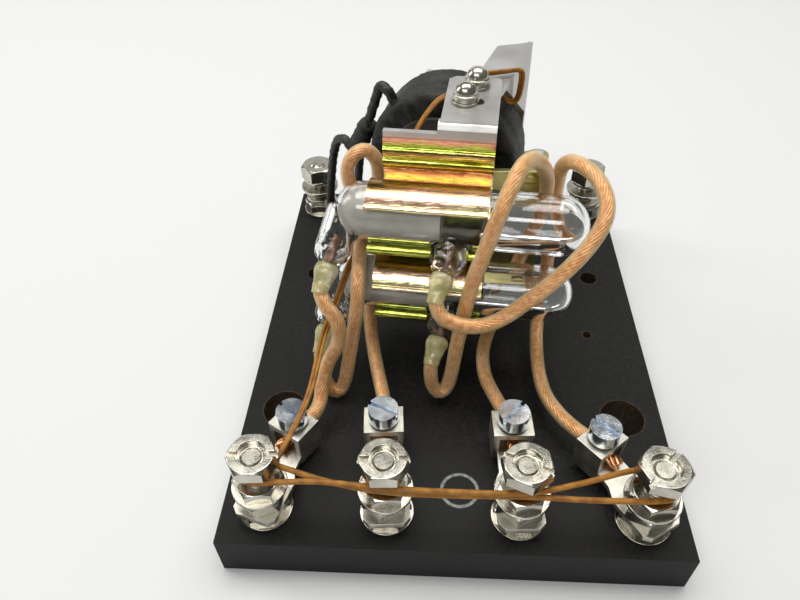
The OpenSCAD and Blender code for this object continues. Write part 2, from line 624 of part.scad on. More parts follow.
// The white ceramic liner fills the tube's left part, and has room round each well.
liner_end = 2;
module liner(zc, ends) {
    r = tube_r - glass_t - 0.1;
    color([0.93, 0.92, 0.9]) mount_frame() translate([0, tube_y, zc]) difference() {
        intersection() {
            capsule(ends, r, glass_t + 0.1);
            translate([ends[0], -r, -r]) cube([liner_end - ends[0], 2 * r, 2 * r]);
        }
        capsule(ends, r - 1.3, glass_t + 1.4);
    }
}
module liner_upper() { liner(upper_z, upper_ends); }
module liner_lower() { liner(lower_z, lower_ends); }
mercury_start = 10.5;
mercury_level = 0.8;
module mercury(zc, ends) {
    r = tube_r - glass_t - 0.1;
    color([0.85, 0.85, 0.86]) mount_frame() translate([0, tube_y, zc]) intersection() {
        capsule(ends, r, glass_t + 0.1);
        translate([mercury_start, -r, -r]) cube([40, 2 * r, r + mercury_level]);
    }
}
module mercury_upper() { mercury(upper_z, upper_ends); }
module mercury_lower() { mercury(lower_z, lower_ends); }
module at_wells() {
    mount_frame() {
        for (x = upper_wells) translate([x, tube_y, upper_z]) along(well_dir) children();
        for (x = lower_wells) translate([x, tube_y, lower_z]) along(well_dir) children();
    }
}
module electrodes() {
    color([0.45, 0.27, 0.18]) at_wells() translate([0, 0, 6.4]) cylinder(r = 0.9, h = 7.8);
}
module seal_blobs() {
    color([0.7, 0.68, 0.42]) at_wells() difference() {
        union() {
            translate([0, 0, 14.6]) sphere(r = 2.5);
            translate([0, 0, 16.2]) sphere(r = 1.8);
        }
        translate([0, 0, well_l]) sphere(r = well_r);
        translate([0, 0, 10]) cylinder(r = 0.9, h = 4.2);
    }
}

base_slab();
terminal_studs();
base_washers();
jam_nuts();
lug(0);  // lug_1
lug(1);  // lug_2
lug(2);  // lug_3
lug(3);  // lug_4
clamp_screws();
bare_wire_ends();
lug_nuts();
wire_washers();
check_nuts();
slotted_nuts();
coil_studs();
coil_stud_washers();
coil_stud_nuts();
coil_wire_lugs();
yoke_frame();
yoke_screws();
coil_core();
core_screw();
coil_bobbin();
coil_winding();
hinge_bracket();
hinge_pin();
stop_bracket();
bracket_screws();
stop_screw();
stop_lock_nut();
return_spring();
coil_lead_left();
coil_lead_right();
lead_splice();
lead_1();
lead_2();
lead_3();
lead_4();
band_front();
band_arm();
armature();
arm();
arm_rivets();
adjuster_screws();
adjuster_washers();
acorn_nuts();
tube_plate();
clip_upper();
clip_lower();
tube_upper();
tube_lower();
liner_upper();
liner_lower();
mercury_upper();
mercury_lower();
electrodes();
seal_blobs();
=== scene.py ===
# %% [markdown]
# # A relay that switches with tipping mercury tubes
# A coil pulls an iron armature, the armature's arm turns, and the arm tips two glass tubes so that the
# mercury in them runs onto their contacts. Everything stands on a black insulating slab with a row of
# terminals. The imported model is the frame: every piece here is made in metres where that model says, and
# rides on one of its three bodies.

# %% Load the frame
import json
import math

import bmesh
import bpy
from mathutils import Matrix, Vector, noise
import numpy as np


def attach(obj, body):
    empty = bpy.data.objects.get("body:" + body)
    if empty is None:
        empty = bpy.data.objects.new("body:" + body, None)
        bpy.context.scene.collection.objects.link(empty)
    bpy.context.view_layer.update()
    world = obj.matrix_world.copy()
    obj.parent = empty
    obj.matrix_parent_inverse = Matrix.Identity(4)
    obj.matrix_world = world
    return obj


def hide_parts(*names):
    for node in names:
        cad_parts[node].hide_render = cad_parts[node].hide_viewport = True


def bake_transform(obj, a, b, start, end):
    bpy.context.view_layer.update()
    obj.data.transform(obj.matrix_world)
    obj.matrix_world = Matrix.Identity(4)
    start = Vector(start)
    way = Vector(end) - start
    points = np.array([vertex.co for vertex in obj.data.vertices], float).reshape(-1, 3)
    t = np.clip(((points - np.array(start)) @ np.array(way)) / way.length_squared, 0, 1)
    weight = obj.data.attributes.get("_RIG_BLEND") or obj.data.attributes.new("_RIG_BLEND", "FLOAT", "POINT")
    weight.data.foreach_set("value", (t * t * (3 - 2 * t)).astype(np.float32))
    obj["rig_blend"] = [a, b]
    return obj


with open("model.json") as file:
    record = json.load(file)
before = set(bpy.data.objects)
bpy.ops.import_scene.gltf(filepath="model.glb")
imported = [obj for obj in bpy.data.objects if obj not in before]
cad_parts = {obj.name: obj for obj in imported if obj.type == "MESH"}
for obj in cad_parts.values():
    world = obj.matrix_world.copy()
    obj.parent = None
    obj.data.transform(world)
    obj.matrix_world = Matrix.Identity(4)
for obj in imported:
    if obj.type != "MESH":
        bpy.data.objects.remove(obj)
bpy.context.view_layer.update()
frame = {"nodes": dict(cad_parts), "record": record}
MM = 0.001
BODIES = frame["record"]["behaviour"]["bodies"]
BODY_OF = {node: body for body, nodes in BODIES.items() for node in nodes}
SLOT_OF = {part["node"]: part["material_slot"] for part in frame["record"]["subparts"]}
print("bodies:", {body: len(nodes) for body, nodes in BODIES.items()})

# %% [markdown]
# ## Camera
# The relay is seen from about 160 mm away, looking down at 44 degrees, so near pieces look much larger
# than far ones. A camera can be aimed by a constraint at a target, but that leaves no roll. Here it is
# set by where it stands and by three turns: yaw, pitch and a small roll, which give one matrix.

# %% Camera
CAMERA_AT = Vector((-4.8, -129.3, 148.9)) * MM
YAW, PITCH, ROLL = (math.radians(a) for a in (-4.02, 44.1, 1.64))
LENS = 30.57


def add_camera():
    forward = Vector((math.sin(YAW) * math.cos(PITCH), math.cos(YAW) * math.cos(PITCH), -math.sin(PITCH)))
    level = Vector((math.cos(YAW), -math.sin(YAW), 0))
    down = forward.cross(level)
    right = math.cos(ROLL) * level + math.sin(ROLL) * down
    up = math.sin(ROLL) * level - math.cos(ROLL) * down
    camera = bpy.data.objects.new("camera", bpy.data.cameras.new("camera"))
    camera.data.lens = LENS
    camera.data.clip_start = 0.01
    turn = Matrix((right, up, -forward)).transposed().to_4x4()
    camera.matrix_world = Matrix.Translation(CAMERA_AT) @ turn
    bpy.context.collection.objects.link(camera)
    bpy.context.scene.camera = camera
    print("camera:", [round(v, 3) for v in camera.location], "lens", LENS)


add_camera()

# %% [markdown]
# ## Floor and light
# The relay stands on a large flat sheet of pale paper. One sun lamp would give hard shadows and no
# highlights on the plating, so large soft lights are used. The one overhead gives the broad highlight
# that runs along the tubes and clips, three weaker ones light the near, left and far sides, and a dim
# world fills the shadows. The plain view transform keeps the black slab deep and the plating bright.

# %% Floor and light
LIGHTS = {
    "overhead": dict(at=(0.0, 0.2, 1.0), target=(0, 0.08, 0), size=(1.1, 0.5), power=9.6,
                     colour=(1, 0.99, 0.97)),
    "front": dict(at=(-0.25, -0.75, 0.95), target=(0, 0.1, 0), size=(0.8, 0.3), power=4.8),
    "left": dict(at=(-0.95, 0.3, 0.5), target=(0, 0.1, 0.02), size=(0.3, 0.6), power=2.4),
    "rear": dict(at=(0.0, 1.1, 0.42), target=(0, 0, 0.06), size=(1.6, 0.5), power=2.2),
}
WORLD_COLOUR = (0.86, 0.88, 0.8, 1)
WORLD_STRENGTH = 0.17
PAPER_COLOUR = (0.72, 0.72, 0.725, 1)
PAPER_ROUGHNESS = 0.9
FLOOR_REACH = 1.6


def add_area(name, at, target, size, power, colour=(1, 1, 1)):
    light = bpy.data.objects.new(name, bpy.data.lights.new(name, "AREA"))
    light.data.shape = "RECTANGLE"
    light.data.size, light.data.size_y = size
    light.data.energy = power
    light.data.color = colour
    light.location = at
    light.rotation_euler = (Vector(target) - Vector(at)).to_track_quat("-Z", "Y").to_euler()
    bpy.context.collection.objects.link(light)


def add_world():
    world = bpy.data.worlds.new("studio")
    world.use_nodes = True
    background = world.node_tree.nodes["Background"].inputs
    background["Color"].default_value = WORLD_COLOUR
    background["Strength"].default_value = WORLD_STRENGTH
    bpy.context.scene.world = world
    bpy.context.scene.view_settings.view_transform = "Standard"


def add_floor():
    mesh = bpy.data.meshes.new("floor")
    corners = [(x * FLOOR_REACH, y * FLOOR_REACH, 0) for x, y in ((-1, -1), (1, -1), (1, 1), (-1, 1))]
    mesh.from_pydata(corners, [], [(0, 1, 2, 3)])
    floor = bpy.data.objects.new("floor", mesh)
    paper = bpy.data.materials.new("pale_paper")
    paper.use_nodes = True
    shader = paper.node_tree.nodes["Principled BSDF"].inputs
    shader["Base Color"].default_value = PAPER_COLOUR
    shader["Roughness"].default_value = PAPER_ROUGHNESS
    mesh.materials.append(paper)
    bpy.context.collection.objects.link(floor)


add_world()
for light_name, light in LIGHTS.items():
    add_area(light_name, **light)
add_floor()
print("lights:", list(LIGHTS))

# %% [markdown]
# ## Finishes
# Every finish on the relay varies: plating is cloudy, sheet metal has the lines of its rolling, moulded
# laminate is speckled. Those effects are shader groups with named inputs, made once and placed in each
# material with its own values. All of them read Object coordinates, so nothing slides when a body turns.
# Nodes can be placed by hand in the editor, but here a few short helpers place and link them, so that a
# tree reads as a few lines of sums.

# %% Helpers for node trees
def put(tree, kind, inputs=None, **settings):
    """Adds a node, sets its properties, and fills or links its inputs."""
    node = tree.nodes.new(kind)
    for name, value in settings.items():
        setattr(node, name, value)
    for name, value in (inputs or {}).items():
        if isinstance(value, bpy.types.NodeSocket):
            tree.links.new(value, node.inputs[name])
        else:
            node.inputs[name].default_value = value
    return node


def maths(tree, operation, a, b=0.0):
    return put(tree, "ShaderNodeMath", {0: a, 1: b}, operation=operation).outputs[0]


def vector_maths(tree, operation, a, b=(0, 0, 0)):
    return put(tree, "ShaderNodeVectorMath", {0: a, 1: b}, operation=operation).outputs[0]


def scaled(tree, vector, factor):
    return put(tree, "ShaderNodeVectorMath", {0: vector, "Scale": factor}, operation="SCALE").outputs[0]


def new_group(name, kind, inputs, outputs):
    """A node group with its named sockets: the tree, what it is given and what it has to fill."""
    tree = bpy.data.node_groups.new(name, kind)
    for label, (socket, default) in inputs.items():
        made = tree.interface.new_socket(label, in_out="INPUT", socket_type="NodeSocket" + socket)
        if default is not None:
            made.default_value = default
    for label, socket in outputs.items():
        tree.interface.new_socket(label, in_out="OUTPUT", socket_type="NodeSocket" + socket)
    return tree, tree.nodes.new("NodeGroupInput").outputs, tree.nodes.new("NodeGroupOutput").inputs


# %% [markdown]
# ## Cloudy variation
# Plating, laminate and rubber are never one even tone. The variation could be an image texture, but that
# needs a picture and an unwrapped mesh for each part. A noise in a group gives a mask from 0 to 1
# instead, and each material sets how fine it is, how it is stretched and how hard its edges are.

# %% Shader group: cloudy variation
def make_cloud():
    tree, given, result = new_group(
        "cloud", "ShaderNodeTree",
        {"Scale": ("Float", 200.0), "Stretch": ("Vector", (1, 1, 1)), "Low": ("Float", 0.35),
         "High": ("Float", 0.65)},
        {"Mask": "Float"})
    place = put(tree, "ShaderNodeTexCoord").outputs["Object"]
    stretched = vector_maths(tree, "MULTIPLY", place, given["Stretch"])
    clouds = put(tree, "ShaderNodeTexNoise", {"Vector": stretched, "Scale": given["Scale"], "Detail": 5.0})
    mask = put(tree, "ShaderNodeMapRange",
               {"Value": clouds.outputs["Fac"], "From Min": given["Low"], "From Max": given["High"]})
    tree.links.new(mask.outputs[0], result["Mask"])
    return tree


CLOUD = make_cloud()
print("group:", CLOUD.name)

# %% [markdown]
# ## Ring marks
# Two kinds of ring lie flat on the slab: the brown rim of a drilled hole, and the printed stamp. A ring
# could be a thin piece of its own, but ink and stain have no thickness. This group gives a mask from how
# far a point is from a circle, looking straight down.

# %% Shader group: a printed or stained ring
def make_ring():
    tree, given, result = new_group(
        "ring_mark", "ShaderNodeTree",
        {"Centre": ("Vector", (0, 0, 0)), "Radius": ("Float", 0.004), "Width": ("Float", 0.0005),
         "Softness": ("Float", 0.0003)},
        {"Mask": "Float"})
    place = put(tree, "ShaderNodeTexCoord").outputs["Object"]
    flat = vector_maths(tree, "MULTIPLY", vector_maths(tree, "SUBTRACT", place, given["Centre"]), (1, 1, 0))
    distance = put(tree, "ShaderNodeVectorMath", {0: flat}, operation="LENGTH").outputs["Value"]
    off = maths(tree, "ABSOLUTE", maths(tree, "SUBTRACT", distance, given["Radius"]))
    past = maths(tree, "SUBTRACT", off, given["Width"])
    mask = put(tree, "ShaderNodeMapRange",
               {"Value": past, "From Min": given["Softness"], "From Max": 0.0})
    tree.links.new(mask.outputs[0], result["Mask"])
    return tree


RING = make_ring()
print("group:", RING.name)

# %% [markdown]
# ## Two tones in one finish
# Worn plating, moulded plastic and old rubber all change in tone and in gloss from place to place. Each
# could be a tree of its own, but they differ only in numbers. So one helper, cloudy, mixes two colours
# and two roughnesses by the cloud group and dents a finer grain into the surface, and a finish is one
# call of it.

# %% Helpers for materials
MIX_FACTOR, MIX_FIRST, MIX_SECOND, MIX_RESULT = 0, 6, 7, 2  # the Mix node's sockets when it mixes colours
BROAD_SHARE, FINE_SHARE = 0.6, 0.4


def use(tree, group, **inputs):
    node = put(tree, "ShaderNodeGroup", node_tree=group)
    for name, value in inputs.items():
        node.inputs[name.capitalize()].default_value = value
    return node.outputs["Mask"]


def blend_colours(tree, factor, first, second):
    node = put(tree, "ShaderNodeMix", data_type="RGBA")
    for place, value in ((MIX_FACTOR, factor), (MIX_FIRST, first), (MIX_SECOND, second)):
        if isinstance(value, bpy.types.NodeSocket):
            tree.links.new(value, node.inputs[place])
        else:
            node.inputs[place].default_value = (*value, 1)
    return node.outputs[MIX_RESULT]


def spread(tree, mask, low, high):
    return put(tree, "ShaderNodeMapRange", {"Value": mask, "To Min": low, "To Max": high}).outputs[0]


def finish(name, metallic=0.0, **constants):
    """A material with its shader; constants are set on the shader's own sockets."""
    material = bpy.data.materials.new(name)
    material.use_nodes = True
    shader = material.node_tree.nodes["Principled BSDF"]
    shader.inputs["Metallic"].default_value = metallic
    for label, value in constants.items():
        shader.inputs[label.replace("_", " ")].default_value = value
    return material, material.node_tree, shader


def dent(tree, shader, height, distance, strength=0.5):
    bump = put(tree, "ShaderNodeBump", {"Height": height, "Distance": distance, "Strength": strength})
    tree.links.new(bump.outputs[0], shader.inputs["Normal"])


def cloudy(name, colours, rough, scale=180.0, stretch=(1, 1, 1), bump=0.0, grain=2500.0,
           grain_stretch=(1, 1, 1), metallic=0.0, **constants):
    """Two colours and two roughnesses mixed by a cloud, with a finer grain dented into the surface."""
    material, tree, shader = finish(name, metallic, **constants)
    mask = use(tree, CLOUD, scale=scale, stretch=stretch)
    tree.links.new(blend_colours(tree, mask, *colours), shader.inputs["Base Color"])
    fine = use(tree, CLOUD, scale=grain, stretch=grain_stretch, low=0.3, high=0.7)
    mixed = maths(tree, "ADD", maths(tree, "MULTIPLY", mask, BROAD_SHARE),
                  maths(tree, "MULTIPLY", fine, FINE_SHARE))
    tree.links.new(spread(tree, mixed, *rough), shader.inputs["Roughness"])
    if bump:
        dent(tree, shader, fine, bump)
    return material


# %% [markdown]
# ## Metals
# Nuts and studs are nickel plated, lugs tinned, clamp screws blue zinc, and the coil's frame and brackets
# dull chromate. The iron and the aluminium show the lines of their rolling, so their grain is stretched.
# Mercury is nearly a mirror. A flat colour with full Metallic would look like new chrome on all of them.

# %% Metals
NICKEL = cloudy("worn_nickel", ((0.46, 0.44, 0.38), (0.64, 0.61, 0.53)), (0.14, 0.3), scale=260.0, bump=7e-6,
                metallic=1.0)
TIN = cloudy("tinned_steel", ((0.5, 0.48, 0.41), (0.68, 0.66, 0.58)), (0.3, 0.46), scale=300.0, bump=3e-5,
             metallic=1.0)
BLUE_ZINC = cloudy("blue_zinc", ((0.6, 0.68, 0.78), (0.86, 0.9, 0.95)), (0.12, 0.26), scale=240.0, bump=2e-5,
                   metallic=1.0)
IRON = cloudy("plated_iron", ((0.5, 0.5, 0.47), (0.66, 0.66, 0.63)), (0.42, 0.58), scale=120.0, bump=5e-5,
              grain=900.0, grain_stretch=(5, 5, 0.4), metallic=0.9)
SPRING = cloudy("spring_steel", ((0.55, 0.55, 0.55), (0.7, 0.7, 0.7)), (0.2, 0.35), metallic=1.0)
ALUMINIUM = cloudy("satin_aluminium", ((0.46, 0.45, 0.435), (0.6, 0.595, 0.58)), (0.38, 0.52), scale=90.0,
                   bump=4e-5, grain=900.0, grain_stretch=(0.5, 5, 5), metallic=1.0)
MERCURY = cloudy("liquid_mercury", ((0.84, 0.84, 0.86), (0.9, 0.9, 0.91)), (0.02, 0.05), metallic=1.0)
COPPER = cloudy("bare_copper", ((0.72, 0.3, 0.12), (0.9, 0.5, 0.26)), (0.2, 0.4), scale=700.0, metallic=1.0)
ELECTRODE = cloudy("oxidised_alloy", ((0.16, 0.07, 0.04), (0.36, 0.2, 0.13)), (0.35, 0.6), scale=900.0,
                   metallic=0.6)
CHROMATE = cloudy("dull_chromate", ((0.42, 0.38, 0.13), (0.62, 0.56, 0.26)), (0.25, 0.45), scale=160.0,
                  bump=2e-5, metallic=1.0)
METALS = (NICKEL, TIN, BLUE_ZINC, IRON, SPRING, ALUMINIUM, MERCURY, COPPER, ELECTRODE, CHROMATE)
print("metals:", [metal.name for metal in METALS])

# %% [markdown]
# ## Chromate colours and painted light on the clips
# Yellow chromate on a clip is a film as thin as a wavelength of light, so it shows bands of gold, green
# and pink that run along the bends. The shader's own thin film gives such colours by angle, but no
# control over where each one lies. So a colour ramp gives the bands by height above each clip's tube, and
# noise that is drawn out along the clip shifts and feathers them. Some bands are painted light, not film
# colour: the bright ridge and the near-white band on the arc are painted highlights, and the dark bands in
# the valleys are painted shade.

# %% Clip colours with painted highlights and shade
TUBE_YAW = math.radians(-6)
UPPER_AXIS, LOWER_AXIS = 57.0, 36.6
BETWEEN_CLIPS = 46.4
STREAK_STRETCH = (45, 300, 420)
STREAK_SHIFT, PATCH_SHIFT = 1.3, 2.6
# Each band's height over its tube's axis, in millimetres, and its colour. The bright bands at 4.6 and
# 10.4 are painted highlights, and the dark bands at 7.8, 9.2 and 11.6 are painted shade.
CLIP_FILM_AND_LIGHT_BANDS = [
    (-11, (0.3, 0.24, 0.04)), (-8.5, (0.46, 0.6, 0.05)), (-6.5, (0.6, 0.62, 0.12)),
    (-3.4, (0.6, 0.74, 0.1)), (-2.0, (0.78, 0.36, 0.26)), (0.2, (0.86, 0.6, 0.44)),
    (2.6, (0.92, 0.64, 0.56)), (4.6, (0.95, 0.92, 0.46)), (6.4, (0.92, 0.56, 0.42)),
    (7.8, (0.3, 0.18, 0.05)), (9.2, (0.36, 0.34, 0.04)), (10.4, (0.8, 0.86, 0.28)),
    (11.6, (0.36, 0.17, 0.1)), (12.8, (0.42, 0.6, 0.08)), (14.2, (0.82, 0.4, 0.28)),
]


def make_clip_film_and_painted_light():
    material, tree, shader = finish("chromate_film_and_painted_light", 1.0)
    place = put(tree, "ShaderNodeTexCoord").outputs["Object"]
    height = put(tree, "ShaderNodeSeparateXYZ", {0: place}).outputs["Z"]
    is_upper = maths(tree, "GREATER_THAN", height, BETWEEN_CLIPS * MM)
    raised = maths(tree, "MULTIPLY", is_upper, (UPPER_AXIS - LOWER_AXIS) * MM)
    axis = maths(tree, "ADD", raised, LOWER_AXIS * MM)
    above = maths(tree, "SUBTRACT", height, axis)
    lined_up = put(tree, "ShaderNodeMapping", {"Vector": place, "Rotation": (0, 0, -TUBE_YAW)}).outputs[0]
    drawn = vector_maths(tree, "MULTIPLY", lined_up, STREAK_STRETCH)
    streaks = put(tree, "ShaderNodeTexNoise", {"Vector": drawn, "Scale": 1.0, "Detail": 3.0}).outputs["Fac"]
    patches = put(tree, "ShaderNodeTexNoise",
                  {"Vector": lined_up, "Scale": 95.0, "Detail": 1.0}).outputs["Fac"]
    shift = maths(tree, "MULTIPLY", maths(tree, "SUBTRACT", streaks, 0.5), STREAK_SHIFT * MM)
    drift = maths(tree, "MULTIPLY", maths(tree, "SUBTRACT", patches, 0.5), PATCH_SHIFT * MM)
    shifted = maths(tree, "ADD", above, maths(tree, "ADD", shift, drift))
    low, high = CLIP_FILM_AND_LIGHT_BANDS[0][0], CLIP_FILM_AND_LIGHT_BANDS[-1][0]
    # film is the place on the ramp. It sets the film colours and the painted highlights and shade alike.
    film = put(tree, "ShaderNodeMapRange",
               {"Value": shifted, "From Min": low * MM, "From Max": high * MM}).outputs[0]
    ramp = put(tree, "ShaderNodeValToRGB", {"Fac": film})
    stops = ramp.color_ramp.elements
    stops[0].color, stops[1].color = (*CLIP_FILM_AND_LIGHT_BANDS[0][1], 1), (*CLIP_FILM_AND_LIGHT_BANDS[-1][1], 1)
    for level, colour in CLIP_FILM_AND_LIGHT_BANDS[1:-1]:
        stops.new((level - low) / (high - low)).color = (*colour, 1)
    tree.links.new(ramp.outputs["Color"], shader.inputs["Base Color"])
    grain = use(tree, CLOUD, scale=2600.0, stretch=(0.15, 1, 1))
    tree.links.new(spread(tree, grain, 0.14, 0.27), shader.inputs["Roughness"])
    dent(tree, shader, grain, 3e-5)
    return material


# The clips' material: chromate film colours together with painted highlights and painted shade.
CLIP_FILM_AND_PAINTED_LIGHT = make_clip_film_and_painted_light()
print("colour bands on a clip:", len(CLIP_FILM_AND_LIGHT_BANDS))

# %% [markdown]
# ## The slab's laminate
# The slab is charcoal phenolic laminate. It is faintly speckled, its drilled edges show brown fibre, and
# a small inspection ring is printed near the front. Each of these could be painted on the slab's UV map.
# Masks by place need no map: clouds give the speckle, and ring marks give the brown rims and the stamp.

# %% Slab finish
# Each hole's place and radius, in millimetres, and then the stamp's.
PANEL_HOLES = [((x, -28.0), 5.2) for x in (-41.5, 41.5)] + [((x, 22.6), 2.4) for x in (-40.7, 40.7)]
PANEL_HOLES.append(((37.0, -0.5), 1.15))
STAMP = ((1.7, -49.2), 4.0)
PRINTED_ABOVE = 11.8
LAMINATE_BLACK, LAMINATE_DUST = (0.0055, 0.0052, 0.005), (0.02, 0.019, 0.0175)
FIBRE_BROWN, INK_GREY = (0.1, 0.06, 0.025), (0.42, 0.46, 0.4)
LEAST_DUST = 0.35
STAIN_VARIES, LEAST_STAIN = 0.6, 0.1


def make_slab_finish():
    material, tree, shader = finish("charcoal_laminate", Specular_IOR_Level=0.22)
    speckle = use(tree, CLOUD, scale=900.0, low=0.45, high=0.75)
    broad = use(tree, CLOUD, scale=25.0, low=0.3, high=0.7)
    dust = maths(tree, "MULTIPLY", speckle, maths(tree, "ADD", broad, LEAST_DUST))
    colour = blend_colours(tree, dust, LAMINATE_BLACK, LAMINATE_DUST)
    fibre = use(tree, CLOUD, scale=1300.0)
    for (x, y), radius in PANEL_HOLES:
        rim = use(tree, RING, centre=(x * MM, y * MM, 0), radius=radius * MM, width=5e-5, softness=4e-4)
        patchy = maths(tree, "ADD", maths(tree, "MULTIPLY", fibre, STAIN_VARIES), LEAST_STAIN)
        stain = maths(tree, "MULTIPLY", rim, patchy)
        colour = blend_colours(tree, stain, colour, FIBRE_BROWN)
    (x, y), radius = STAMP
    ink = use(tree, RING, centre=(x * MM, y * MM, 0), radius=radius * MM, width=2.5e-4, softness=2e-4)
    height = put(tree, "ShaderNodeSeparateXYZ", {0: put(tree, "ShaderNodeTexCoord").outputs["Object"]})
    top = maths(tree, "GREATER_THAN", height.outputs["Z"], PRINTED_ABOVE * MM)
    ink = maths(tree, "MULTIPLY", maths(tree, "MULTIPLY", ink, top), spread(tree, fibre, 0.3, 0.75))
    colour = blend_colours(tree, ink, colour, INK_GREY)
    tree.links.new(colour, shader.inputs["Base Color"])
    tree.links.new(spread(tree, dust, 0.55, 0.75), shader.inputs["Roughness"])
    dent(tree, shader, speckle, 4e-5)
    return material


SLAB_FINISH = make_slab_finish()
print("rims stained:", len(PANEL_HOLES))

# %% [markdown]
# ## Ceramic, moulding, varnish, rubber and strands
# The tubes have a white ceramic liner, the bobbin is a dark moulding, the seals are yellow-green varnish,
# the bands are old amber rubber and the leads are twisted copper. They could share one plastic, but each
# takes light in its own way: varnish is part clear under a gloss coat, rubber is dull, and the strands
# are part metal.

# %% Ceramic, moulding, varnish, rubber and strands
CERAMIC = cloudy("white_ceramic", ((0.6, 0.56, 0.48), (0.72, 0.69, 0.62)), (0.45, 0.65), scale=200.0,
                 bump=3e-5)
BOBBIN = cloudy("dark_moulding", ((0.02, 0.018, 0.016), (0.05, 0.045, 0.04)), (0.4, 0.6), bump=4e-5)
VARNISH = cloudy("seal_varnish", ((0.42, 0.4, 0.16), (0.7, 0.64, 0.36)), (0.12, 0.3), scale=500.0, bump=2e-4,
                 grain=700.0, Coat_Weight=0.8, Alpha=0.66)
SLEEVE = cloudy("amber_sleeve", ((0.72, 0.54, 0.24), (0.86, 0.7, 0.42)), (0.25, 0.4), scale=260.0, bump=2e-5)
RUBBER = cloudy("aged_rubber", ((0.24, 0.09, 0.008), (0.42, 0.19, 0.025)), (0.38, 0.55), scale=500.0,
                bump=4e-5, Specular_IOR_Level=0.35)
STRAND = cloudy("twisted_strand", ((0.76, 0.29, 0.08), (1.0, 0.62, 0.3)), (0.3, 0.45), scale=900.0,
                metallic=0.55)
SOFTER = (CERAMIC, BOBBIN, VARNISH, SLEEVE, RUBBER, STRAND)
print("other finishes:", [material.name for material in SOFTER])

# %% [markdown]
# ## The clear sleeve
# A lead's amber sleeve hides little where it is looked through square on, and more along its edges. Real
# refraction would show that, but it takes many more light bounces, and it would bend the strands' look
# like a lens. So Alpha follows the angle to the view.

# %% Clear sleeve
SLEEVE_MIDDLE, SLEEVE_EDGE = 0.16, 0.95


def thin_at_middle(material, middle, edge):
    tree = material.node_tree
    facing = put(tree, "ShaderNodeLayerWeight", {"Blend": 0.35}).outputs["Facing"]
    tree.links.new(spread(tree, facing, middle, edge), tree.nodes["Principled BSDF"].inputs["Alpha"])


thin_at_middle(SLEEVE, SLEEVE_MIDDLE, SLEEVE_EDGE)
print("sleeve alpha:", SLEEVE_MIDDLE, "to", SLEEVE_EDGE)

# %% [markdown]
# ## Glass
# The tubes are clear glass that a flame has worked. Alpha would make it look like film, so it is true
# transmission, with slight waves in its tint and polish.

# %% Glass finish
def make_glass():
    material, tree, shader = finish("clear_glass", Transmission_Weight=1.0, IOR=1.47)
    waves = use(tree, CLOUD, scale=260.0, low=0.2, high=0.8)
    tint = blend_colours(tree, waves, (0.985, 0.99, 0.99), (1.0, 1.0, 1.0))
    tree.links.new(tint, shader.inputs["Base Color"])
    tree.links.new(spread(tree, waves, 0.0, 0.02), shader.inputs["Roughness"])
    return material


GLASS = make_glass()
print("glass:", GLASS.name)

# %% [markdown]
# ## Tape and wire
# Friction tape is cotton cloth pressed with tar, greyed by dust. A weave modelled thread by thread would
# be far too heavy, so two crossed waves dent its surface. The coil's wires are plain black rubber.

# %% Tape and wire
TAPE_BLACK, TAPE_DUST = (0.006, 0.0065, 0.006), (0.05, 0.049, 0.045)
DUST_HEIGHT = 1.5


def make_tape():
    material, tree, shader = finish("friction_tape", Specular_IOR_Level=0.35)
    place = put(tree, "ShaderNodeTexCoord").outputs["Object"]
    threads = [put(tree, "ShaderNodeTexWave", {"Vector": place, "Scale": 620.0, "Distortion": 1.5},
                   bands_direction=direction).outputs["Fac"] for direction in ("X", "Z")]
    weave = maths(tree, "MULTIPLY", *threads)
    dust = use(tree, CLOUD, scale=260.0, low=0.42, high=0.72)
    tree.links.new(blend_colours(tree, dust, TAPE_BLACK, TAPE_DUST), shader.inputs["Base Color"])
    tree.links.new(spread(tree, dust, 0.42, 0.75), shader.inputs["Roughness"])
    rough = maths(tree, "ADD", weave, maths(tree, "MULTIPLY", dust, DUST_HEIGHT))
    dent(tree, shader, rough, 1.2e-4, 0.7)
    return material


TAPE = make_tape()
WIRE = cloudy("black_rubber", ((0.008, 0.008, 0.008), (0.03, 0.03, 0.028)), (0.4, 0.6), scale=400.0,
              bump=6e-5)
print("tape and wire:", TAPE.name, WIRE.name)

# %% [markdown]
# ## One finish for each slot
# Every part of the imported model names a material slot. A finish could be given piece by piece, but one
# list from slot to finish keeps all parts of one slot alike.

# %% One finish for each slot
FINISHES = {
    "slab": SLAB_FINISH, "nickel": NICKEL, "lug_tin": TIN, "blue_zinc": BLUE_ZINC, "copper": COPPER,
    # The clip slot takes the clip colours with their painted highlights and shade.
    "chromate": CHROMATE, "clip_chromate": CLIP_FILM_AND_PAINTED_LIGHT, "soft_iron": IRON, "spring_steel": SPRING,
    "satin_aluminium": ALUMINIUM, "bobbin_plastic": BOBBIN, "black_tape": TAPE, "black_wire": WIRE,
    "amber_sleeve": SLEEVE, "rubber_band": RUBBER, "clear_glass": GLASS, "white_ceramic": CERAMIC,
    "mercury": MERCURY, "electrode_metal": ELECTRODE, "seal_varnish": VARNISH,
}
print("finishes:", len(FINISHES))

# %% [markdown]
# ## Softened metalwork
# Nothing turned, stamped or moulded has a knife edge: each corner is rounded a little, and that thin
# round catches the light. Each carried-over part is copied, its loose triangles are joined, flat
# stretches are cleaned, and a narrow bevel rounds its edges. A bevel shader would be quicker, but it
# would round only the shading, not the shape. The copy replaces the plain part and rides on the same body.

# %% Helpers for pieces
WELD_WITHIN = 0.004
FLAT_WITHIN = math.radians(1.2)
CORNER_FROM = math.radians(32)


def add_piece(name, mesh, material):
    piece = bpy.data.objects.new(name, mesh)
    bpy.context.collection.objects.link(piece)
    mesh.materials.clear()
    mesh.materials.append(material)
    return piece


def stands_for(piece, node):
    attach(piece, BODY_OF[node])
    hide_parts(node)


